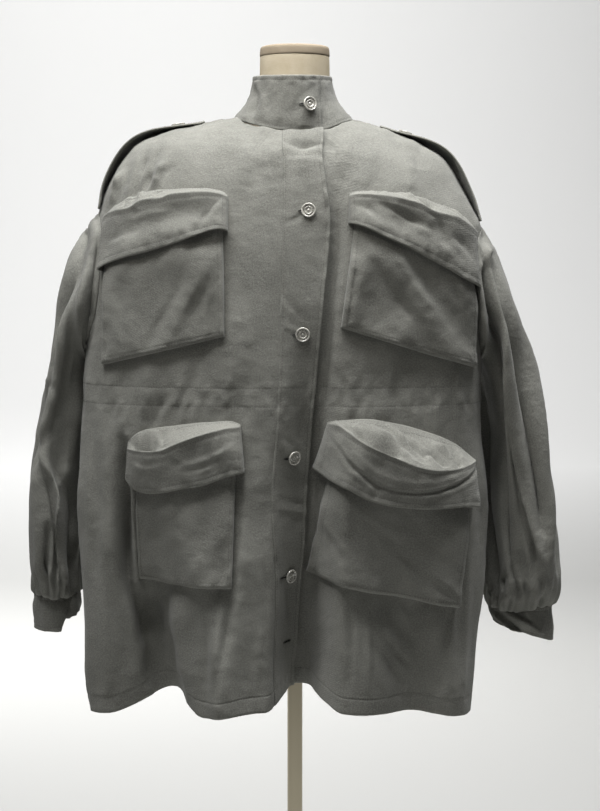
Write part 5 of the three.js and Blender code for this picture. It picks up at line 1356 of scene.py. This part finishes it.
def ringed(name, rings, sides=72):
    # a closed shape of rings of (z, half width, reach to the front, reach to the back)
    angle = 2 * math.pi * np.arange(sides) / sides
    z, wide, frontReach, backReach = np.array(rings, float).T[:, :, None]
    deep = np.where(np.sin(angle) < 0, frontReach, backReach)
    points = np.stack([formX + wide * np.cos(angle), np.sin(angle) * deep, z + 0 * angle], axis=-1)
    fanned(name, points, (formX, 0, z[0, 0]), (formX, 0, z[-1, 0]))


at = np.concatenate([np.linspace(0, 1, 9)[:-1], np.linspace(1, 10, 46)[:-1], np.linspace(10, 16, 50)])
formRings = np.column_stack([column(formTable[key], at) for key in ("z", "wide", "front", "back")])
rimRings = [(1458.4, 48.5, 50, 45), (1459.2, 48.4, 49.9, 44.9), (1459.5, 48, 49.5, 44.5)]
ringed("dressFormJersey", np.concatenate([formRings[:-1], rimRings]))
capRings = [
    (1460, 48.2, 49.7, 44.7), (1460.2, 48.8, 50.3, 45.3), (1460.8, 49, 50.5, 45.5), (1462.6, 49, 50.5, 45.5),
    (1464.6, 48.9, 50.4, 45.4), (1468.6, 48.6, 50.1, 45.1), (1471.2, 48.2, 49.7, 44.7),
    (1472.8, 47, 48.5, 43.5),
    (1473.7, 44.6, 46.1, 41.1), (1474, 41, 42.5, 37.5), (1473.9, 24, 25.5, 22), (1473.9, 8, 8.5, 7.5),
]
ringed("neckCapCloth", capRings)
poleProfile = [(0, 22.3), (10, 22.3), (10.7, 22.5), (11, 23.1), (11, 120), (11, 240), (11, 360), (11, 480),
               (11, 600), (11, 674.9), (10.7, 675.5), (10, 675.7), (0, 675.7)]
turned("chromePole", poleProfile, 64, (formX, 0, 0), (0, 0, 1))
baseProfile = [(0, 0), (170, 0), (175, 0.4), (177.4, 1.5), (178, 3), (178, 5), (177.2, 6.6), (175, 7.6),
               (165.5, 9.6), (140, 12.6), (115, 14.9), (89, 17.1), (60, 19.3), (40, 20.4), (29, 20.9),
               (27, 21), (25.5, 21.4), (23, 21.9), (21, 22), (0, 22)]
turned("roundBase", baseProfile, 96, (formX, 0, 0), (0, 0, 1))
print("form and stand")


# Materials
def toLinear(code):
    values = [int(code[i:i + 2], 16) / 255 for i in (1, 3, 5)]
    return tuple(v / 12.92 if v <= 0.04045 else ((v + 0.055) / 1.055) ** 2.4 for v in values) + (1,)


def addNode(tree, kind, inputs=None, **settings):
    node = tree.nodes.new(kind)
    for key, value in settings.items():
        setattr(node, key, value)
    for key, value in (inputs or {}).items():
        if isinstance(value, bpy.types.NodeSocket):
            tree.links.new(value, node.inputs[key])
        else:
            node.inputs[key].default_value = value
    return node


def startMaterial(name):
    made = bpy.data.materials.new(name)
    made.use_nodes = True
    made.node_tree.nodes.clear()
    return made, made.node_tree


def endMaterial(tree, colour, roughness, more=()):
    shader = addNode(tree, "ShaderNodeBsdfPrincipled", {
        "Base Color": colour, "Roughness": roughness, **dict(more)})
    addNode(tree, "ShaderNodeOutputMaterial", {"Surface": shader.outputs[0]})


def cloudy(tree, scale, more=(), places=None):
    # soft unevenness through the object, or along another measure of places
    if places is None:
        places = addNode(tree, "ShaderNodeTexCoord").outputs["Object"]
    noise = addNode(tree, "ShaderNodeTexNoise", {"Vector": places, "Scale": scale, **dict(more)})
    return noise.outputs["Fac"]


def shaded(tree, share, low, high, start=0.0, end=1.0):
    # from one colour at the start of a share to another at its end
    ramp = addNode(tree, "ShaderNodeValToRGB", {"Fac": share})
    for element, position, code in zip(ramp.color_ramp.elements, (start, end), (low, high)):
        element.position = position
        element.color = toLinear(code)
    return ramp.outputs["Color"]


def ranged(tree, share, low, high, start=0.0, end=1.0):
    return addNode(tree, "ShaderNodeMapRange", {
        "Value": share, "From Min": start, "From Max": end, "To Min": low, "To Max": high}).outputs["Result"]


def blended(tree, share, colour, code):
    # sockets 6 and 7 of a mix node are its two colours, and its output 2 is the colour between them
    inputs = {"Factor": share, 6: colour, 7: toLinear(code)}
    return addNode(tree, "ShaderNodeMix", inputs, data_type="RGBA").outputs[2]


def raised(tree, height, strength, distance, more=()):
    return addNode(tree, "ShaderNodeBump", {
        "Height": height, "Strength": strength, "Distance": distance, **dict(more)}).outputs["Normal"]


def washedTwill():
    made, tree = startMaterial("garment washed cotton twill")
    cloth = addNode(tree, "ShaderNodeUVMap", uv_map="cloth").outputs["UV"]
    worn = addNode(tree, "ShaderNodeAttribute", attribute_name="wear").outputs["Fac"]
    # clouds of a few cm from washing, so that no panel is one flat grey
    cloud = cloudy(tree, 17.0, {"Detail": 5.0, "Roughness": 0.6})
    shade = shaded(tree, cloud, "#5f5f5a", "#7a7a74", 0.25, 0.75)
    # fine flecks of lighter yarn, which the eye reads as cotton
    fleck = cloudy(tree, 460.0, {"Detail": 4.0, "Roughness": 0.75}, cloth)
    flecked = blended(tree, ranged(tree, fleck, 0.0, 0.75, 0.4, 0.66), shade, "#8f8f88")
    # turned edges are rubbed paler
    colour = blended(tree, ranged(tree, worn, 0.0, 0.2, 0.3, 1.0), flecked, "#95958d")
    # the twill's diagonal, drawn at 2.6 mm where the real one is 0.7 mm, because a pixel is 1.4 mm
    slanted = addNode(tree, "ShaderNodeMapping", {"Vector": cloth, "Rotation": (0, 0, 0.95)})
    lines = addNode(tree, "ShaderNodeTexWave", {"Vector": slanted.outputs["Vector"], "Scale": 121.0,
                                                "Distortion": 0.6, "Detail": 1.0, "Detail Scale": 3.0})
    weave = raised(tree, lines.outputs["Fac"], 0.25, 0.0004)
    # crumpling of one to two cm left by washing
    crumple = cloudy(tree, 62.0, {"Detail": 7.0, "Roughness": 0.68})
    creased = raised(tree, crumple, 0.8, 0.0022, {"Normal": weave})
    endMaterial(tree, colour, 0.92, {
        "Specular IOR Level": 0.22, "Sheen Weight": 0.12, "Sheen Roughness": 0.55, "Normal": creased})
    return made


def polishedShell():
    made, tree = startMaterial("polished shell")
    # soft bands of grey and cream, as mother-of-pearl has
    bands = cloudy(tree, 320.0, {"Detail": 3.0, "Distortion": 1.4})
    shade = shaded(tree, bands, "#7d7c76", "#cfcdc4", 0.3, 0.7)
    endMaterial(tree, shade, 0.16, {"Coat Weight": 1.0, "Coat Roughness": 0.05})
    return made


def knitted(name, low, high, bump):
    made, tree = startMaterial(name)
    # a knit's slight unevenness, so that the neck is not one flat beige
    shade = shaded(tree, cloudy(tree, 60.0, {"Detail": 3.0}), low, high, 0.3, 0.7)
    # loops of the knit, drawn at 2 mm where the real ones are under 1 mm, because a pixel is 1.4 mm
    relief = raised(tree, cloudy(tree, 500.0, {"Detail": 2.0}), bump, 0.0006)
    endMaterial(tree, shade, 0.94, {"Specular IOR Level": 0.2, "Normal": relief})
    return made


def plated():
    made, tree = startMaterial("chrome plated steel tube")
    # faint smears from handling break up the mirror
    rough = ranged(tree, cloudy(tree, 18.0, {"Detail": 3.0}), 0.03, 0.08)
    endMaterial(tree, toLinear("#b0a893"), rough, {"Metallic": 1.0})
    return made


def satinNickel():
    made, tree = startMaterial("satin nickel on pressed steel")
    # a soft grain under the plating keeps the plate from looking like a mirror
    rough = ranged(tree, cloudy(tree, 40.0, {"Detail": 4.0}), 0.36, 0.44)
    endMaterial(tree, toLinear("#c6c4be"), rough, {"Metallic": 1.0})
    return made


def spunThread():
    made, tree = startMaterial("spun polyester thread")
    # slight changes of shade from stitch to stitch
    shade = shaded(tree, cloudy(tree, 300.0), "#42423e", "#54544f")
    endMaterial(tree, shade, 0.6, {"Specular IOR Level": 0.35})
    return made


def paintedSlitShade():
    made, tree = startMaterial("painted shade of a buttonhole slit")
    # painted shade: the slit is a sheet given a near-black colour that stands in for the dark inside of a
    # hole which is not cut
    endMaterial(tree, toLinear("#1a1a18"), 0.95, {"Specular IOR Level": 0.1})
    return made


finishes = {
    "twill": washedTwill(), "pearl": polishedShell(),
    "jersey": knitted("cotton jersey stretched over the form", "#b9ad95", "#c3b8a2", 0.35),
    "capCloth": knitted("woven cap of the neck", "#918573", "#9a8e7c", 0.25),
    "chrome": plated(), "base": satinNickel(), "thread": spunThread(), "slit": paintedSlitShade(),
}
print("materials")


# Buttonholes: a bead of close stitches round a slit, across the strip beside each button
holeShape = {"half": 8.5, "wide": 1.4, "bead": 0.62, "sides": 6, "steps": 40, "opening": 0.75}


def surfacePath(tree, spots):
    # spots (x, z) dropped on the surface from the front
    path, ways = zip(*(fromFront(tree, x, z) for x, z in spots))
    ways = unit(np.array(ways))
    return np.array(path), np.where(ways[:, 1:2] < 0, ways, -ways)


def stitchedBead(name, tree, x, z, half):
    # round the slit, thicker and thinner from stitch to stitch
    turn = 2 * math.pi * np.arange(holeShape["steps"]) / holeShape["steps"]
    along = np.sign(np.cos(turn)) * np.abs(np.cos(turn)) ** 0.45
    spots = np.stack([x + half * along, z + holeShape["wide"] * np.sin(turn)], axis=-1)
    path, ways = surfacePath(tree, spots)
    lifted = path + ways * 0.5
    run = unit(np.roll(lifted, -1, axis=0) - np.roll(lifted, 1, axis=0))
    angle = 2 * math.pi * np.arange(holeShape["sides"])[None, :, None] / holeShape["sides"]
    ring = unit(np.cross(run, ways))[:, None] * np.cos(angle) + ways[:, None] * np.sin(angle)
    rough = 1 + 0.16 * np.cos(np.arange(len(path)) * 2.4)[:, None, None]
    points = path[:, None] + (ways[:, None] * 0.5 + ring * holeShape["bead"]) * rough
    number = np.arange(points[..., 0].size).reshape(points.shape[:2])
    after, over = np.roll(number, -1, axis=0), np.roll(number, -1, axis=1)
    faces = np.stack([number, over, np.roll(after, -1, axis=1), after], axis=-1)
    return solid(name, points.reshape(-1, 3), faces.reshape(-1, 4))


def darkSlit(name, tree, x, z, half):
    # a thin lens of painted shade between the two sides of the bead, a near-black sheet where a cut hole
    # would be dark inside
    shares = np.linspace(-1, 1, 15)
    line, ways = surfacePath(tree, [(x + half * 0.86 * share, z) for share in shares])
    gape = np.zeros_like(line)
    gape[:, 2] = holeShape["opening"] * np.sqrt(np.maximum(0, 1 - shares**4)) + 0.05
    top, foot = line + ways * 0.3, line - ways * 0.15
    points = np.concatenate([top + gape, top - gape, foot - gape, foot + gape])
    number = np.arange(len(points)).reshape(4, -1)
    over = np.roll(number, -1, axis=0)
    faces = np.stack([number[:, :-1], number[:, 1:], over[:, 1:], over[:, :-1]], axis=-1).reshape(-1, 4)
    faces = np.concatenate([faces, number[:, :1].T, number[::-1, -1:].T])
    return solid(name, points, faces, False)


def buttonhole(name, tree, x, z, half=holeShape["half"]):
    return stitchedBead(name, tree, x, z, half), darkSlit(name + "Slit", tree, x, z, half)


holes = {name: buttonhole(name + "Hole", placketTree, x - 5, z - 0.5)
         for name, (x, z) in buttonPlaces.items()}
holes["collarButton"] = buttonhole("collarButtonHole", collarTree, 11, 1387)
holes["lowest"] = buttonhole("lowestHole", placketTree, -15, 647, 5)
print("buttonholes")

# Rows of stitches, each a line over a piece's grid of points
stitch = {"spacing": 3.7, "length": 2.6, "thick": 0.55, "lift": 0.05}
stitchPaths = []


def indexOf(shares, value):
    # the place of a value in a growing list, between its whole numbers too
    return np.interp(value, shares, np.arange(len(shares)))


def stitchRow(grid, ways, rowAt, columnAt):
    rowAt, columnAt = np.broadcast_arrays(np.asarray(rowAt, float), np.asarray(columnAt, float))
    stitchPaths.append(sampled(grid, rowAt, columnAt) + sampled(ways, rowAt, columnAt) * stitch["lift"])


# placket: beside its seam and along its free edge
rowsAt = np.linspace(1, len(levels) - 2, 500)
stripWays = gridWays(stripOuter, (0, -1, 0))
wide = lengthsAlong(stripOuter)
for start, inset in ((0, 3.0), (1, -5.0)):
    at = [np.interp(start * wide[row, -1] + inset, wide[row], np.arange(wide.shape[1]))
          for row in np.round(rowsAt).astype(int)]
    stitchRow(stripOuter, stripWays, rowsAt, at)
# hem and casing, round the three panels; the strip hides the right front's last columns
frontHeights = column(bodyTable["zFront"], levels)
for name, first, last in (("right", 0, stripFrom), ("left", 6, len(leftShares) - 1),
                          ("back", 0, len(backShares) - 1)):
    for height in (bodyTable["zFront"][0] + bodyRows["hemStitch"],) + casingRows:
        row = int(np.argmin(np.abs(frontHeights - height)))
        stitchRow(panels[name]["place"], panels[name]["ways"], row, np.linspace(first + 0.3, last - 0.3, 300))
# pockets: down both sides and along the foot of a bag, the seam, ridge and foot of a flap
for name in pockets:
    bag, flap = pieces[name + "Bag"], pieces[name + "Flap"]
    ways = gridWays(bag["outer"], (0, -1, 0))
    foot = indexOf(bag["rows"], 0.915)
    left, right = (indexOf(bag["shares"], share) for share in (0.036, 0.964))
    stitchRow(bag["outer"], ways, np.linspace(0, foot, 90), left)
    stitchRow(bag["outer"], ways, foot, np.linspace(left, right, 120))
    stitchRow(bag["outer"], ways, np.linspace(foot, 0, 90), right)
    ways = gridWays(flap["outer"], (0, -1, 0))
    across = np.linspace(1.5, len(flap["shares"]) - 2.5, 140)
    for row in (0.16, 1.1, 1.88):
        stitchRow(flap["outer"], ways, indexOf(flap["rows"], row), across)
    down = np.linspace(indexOf(flap["rows"], 1.14), indexOf(flap["rows"], 1.88), 40)
    for share in (0.03, 0.97):
        stitchRow(flap["outer"], ways, down, indexOf(flap["shares"], share))
# collar: all round, 5 mm in
top, foot = indexOf(collarUps, 0.92), indexOf(collarUps, 0.06)
inner, outer = 1.6, len(collarShares) - 2.6
for row in (top, foot):
    stitchRow(collarGrid, collarWays, row, np.linspace(inner, outer, 400))
stitchRow(collarGrid, collarWays, np.linspace(foot, top, 40), outer)
# cuffs and straps
for side in (-1, 1):
    place, ways = cuffPieces[side]
    ends = 2, place.shape[1] - 3
    for row in cuffShape["stitchRows"]:
        stitchRow(place, ways, row, np.linspace(*ends, 260))
    for end in ends:
        stitchRow(place, ways, np.linspace(*cuffShape["stitchRows"], 30), end)
    _, grid, ways = straps[side]
    ends, last = (3.9, grid.shape[1] - 4.9), len(grid) - 4
    for end in ends:
        stitchRow(grid, ways, np.linspace(1, last, 120), end)
    stitchRow(grid, ways, last, np.linspace(*ends, 30))


def stitchObject(name, paths, material):
    # one line per row of stitches goes in, a plain mesh of flattened beads comes out
    points, edges = [], []
    for path in paths:
        edges += [(len(points) + i, len(points) + i + 1) for i in range(len(path) - 1)]
        points += [tuple(p) for p in path * mm]
    mesh = bpy.data.meshes.new(name + "Lines")
    mesh.from_pydata(points, edges, [])
    lines = bpy.data.objects.new(name + "Lines", mesh)
    bpy.context.scene.collection.objects.link(lines)
    tree = bpy.data.node_groups.new("stitchesAlongLines", "GeometryNodeTree")
    tree.interface.new_socket("Lines", in_out="INPUT", socket_type="NodeSocketGeometry")
    given = (("Stitch spacing", "Float", stitch["spacing"] * mm),
             ("Stitch length", "Float", stitch["length"] * mm),
             ("Thread thickness", "Float", stitch["thick"] * mm), ("Thread", "Material", material))
    sockets = [tree.interface.new_socket(label, in_out="INPUT", socket_type="NodeSocket" + kind)
               for label, kind, _ in given]
    tree.interface.new_socket("Stitches", in_out="OUTPUT", socket_type="NodeSocketGeometry")
    start = addNode(tree, "NodeGroupInput").outputs
    curve = addNode(tree, "GeometryNodeMeshToCurve", {"Mesh": start["Lines"]})
    spots = addNode(tree, "GeometryNodeCurveToPoints", {
        "Curve": curve.outputs["Curve"], "Length": start["Stitch spacing"]}, mode="LENGTH")
    along = addNode(tree, "FunctionNodeAlignRotationToVector", {"Vector": spots.outputs["Tangent"]}, axis="X")
    bead = addNode(tree, "GeometryNodeMeshIcoSphere", {"Radius": 0.5, "Subdivisions": 1})
    size = addNode(tree, "ShaderNodeCombineXYZ", {
        "X": start["Stitch length"], "Y": start["Thread thickness"], "Z": start["Thread thickness"]})
    placed = addNode(tree, "GeometryNodeInstanceOnPoints", {
        "Points": spots.outputs["Points"], "Instance": bead.outputs["Mesh"],
        "Rotation": along.outputs["Rotation"], "Scale": size.outputs["Vector"]})
    real = addNode(tree, "GeometryNodeRealizeInstances", {"Geometry": placed.outputs["Instances"]})
    coated = addNode(tree, "GeometryNodeSetMaterial", {"Geometry": real.outputs["Geometry"],
                                                       "Material": start["Thread"]})
    addNode(tree, "NodeGroupOutput", {"Stitches": coated.outputs["Geometry"]})
    modifier = lines.modifiers.new("stitches", "NODES")
    modifier.node_group = tree
    for socket, (_, _, value) in zip(sockets, given):
        modifier[socket.identifier] = value
    depsgraph = bpy.context.evaluated_depsgraph_get()
    plain = bpy.data.meshes.new_from_object(lines.evaluated_get(depsgraph))
    made = bpy.data.objects.new(name, plain)
    plain.name = name
    bpy.context.scene.collection.objects.link(made)
    bpy.data.objects.remove(lines)
    return made


seamStitches = stitchObject("seamStitches", stitchPaths, finishes["thread"])
print("stitches", len(seamStitches.data.polygons))


# What each piece stands for in the frame: its own name with underscores, or one from this table
otherNodes = {
    "backPanel": "back", "standCollar": "collar", "rightStrap": "shoulder_strap_right",
    "leftStrap": "shoulder_strap_left", "rightStrapButton": "strap_button_right",
    "leftStrapButton": "strap_button_left", "dressFormJersey": "dress_form", "neckCapCloth": "neck_cap",
    "chromePole": "stand_pole", "roundBase": "stand_base",
}
finishOf = {"dressFormJersey": "jersey", "neckCapCloth": "capCloth", "chromePole": "chrome",
            "roundBase": "base"}


def nodeName(name):
    return "".join(letter if letter.islower() else "_" + letter.lower() for letter in name)


def dress(made, look):
    # its material and the body that carries it
    made.data.materials.clear()
    made.data.materials.append(finishes[look])
    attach(made, "root")


for bead, slit in holes.values():
    dress(bead, "thread")
    dress(slit, "slit")
dress(seamStitches, "thread")
shown = ["rightFront", "leftFront", "backPanel", "frontPlacket", "standCollar", "collarButton"]
shown += [*finishOf, *buttonPlaces]
shown += [side + kind for side in ("right", "left") for kind in ("Sleeve", "Cuff", "Strap", "StrapButton")]
shown += [name + kind for name in pockets for kind in ("Bag", "Flap")]
for name in shown:
    made = bpy.data.objects[name]
    dress(made, finishOf.get(name, "pearl" if "Button" in name else "twill"))
    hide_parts(otherNodes.get(name, nodeName(name)))
# Floor and backdrop in one sweep, the light and the camera
sweep = [(-3600, 0), (-1000, 0), (1200, 0), (3000, 0), (4000, 40), (4800, 260), (5600, 700), (6200, 1300),
         (6500, 2000), (6600, 3000), (6600, 5000)]
sweepHalf = 3200
line = smoothLine(sweep, 5)
points = np.concatenate([np.insert(line, 0, x, axis=1) for x in (-sweepHalf, sweepHalf)])
count = len(line)
backdrop = plainObject("paperSweep", points, [(i, i + 1, count + i + 1, count + i) for i in range(count - 1)])
paper, tree = startMaterial("matt background paper")
# painted shade: the floor's part of the sheet is painted greyer than the wall's, as a floor in shade looks
places = addNode(tree, "ShaderNodeTexCoord")
parts = addNode(tree, "ShaderNodeSeparateXYZ", {"Vector": places.outputs["Object"]})
shade = shaded(tree, ranged(tree, parts.outputs["Z"], 0.0, 1.0, 0.02, 0.3), "#b6b6b4", "#eeeeed")
endMaterial(tree, shade, 0.9, {"Specular IOR Level": 0.1})
backdrop.data.materials.append(paper)


def areaLight(name, place, aim, size, power, colour, spread=180):
    light = bpy.data.lights.new(name, "AREA")
    light.shape = "RECTANGLE"
    light.size, light.size_y = size
    light.energy = power
    light.spread = math.radians(spread)
    light.color = toLinear(colour)[:3]
    made = bpy.data.objects.new(name, light)
    made.location = place
    away = np.asarray(place, float) - np.asarray(aim, float)
    flat = math.hypot(away[0], away[1])
    made.rotation_euler = (math.atan2(flat, away[2]), 0, math.atan2(away[0], -away[1]))
    bpy.context.scene.collection.objects.link(made)
    return made


areaLight("keySoftbox", (0.25, -0.48, 3.6), (0, 0, 1.1), (2.2, 0.85), 162, "#ffffff")
areaLight("edgeSoftbox", (-1.0, -0.7, 2.9), (0, 0, 1.15), (0.35, 0.35), 20, "#ffffff")
areaLight("neckFill", (-0.5, -1.0, 2.3), (0.02, 0, 1.42), (0.5, 0.4), 0.45, "#fffaf2", 45)
areaLight("backdropStrip", (-0.8, 3.4, 4.0), (-0.4, 6.2, 1.3), (3.6, 0.6), 128, "#ffffff")
areaLight("floorStrip", (-1.0, 2.7, 2.7), (-1.0, 2.7, 0), (2.6, 0.8), 38, "#ffffff", 100)
world = bpy.data.worlds.new("softRoom")
world.use_nodes = True
world.node_tree.nodes["Background"].inputs["Color"].default_value = toLinear("#f2f1ef")
world.node_tree.nodes["Background"].inputs["Strength"].default_value = 0.035
bpy.context.scene.world = world

camera = bpy.data.cameras.new("photoCamera")
camera.sensor_fit = "VERTICAL"
camera.sensor_height = 36
camera.lens = 81.3
cameraObject = bpy.data.objects.new("photoCamera", camera)
cameraObject.location = (0.0034, -2.6, 1.19)
cameraObject.rotation_euler = (math.radians(90 - 4.85), 0, 0)
bpy.context.scene.collection.objects.link(cameraObject)
bpy.context.scene.camera = cameraObject
bpy.context.scene.view_settings.view_transform = "Standard"
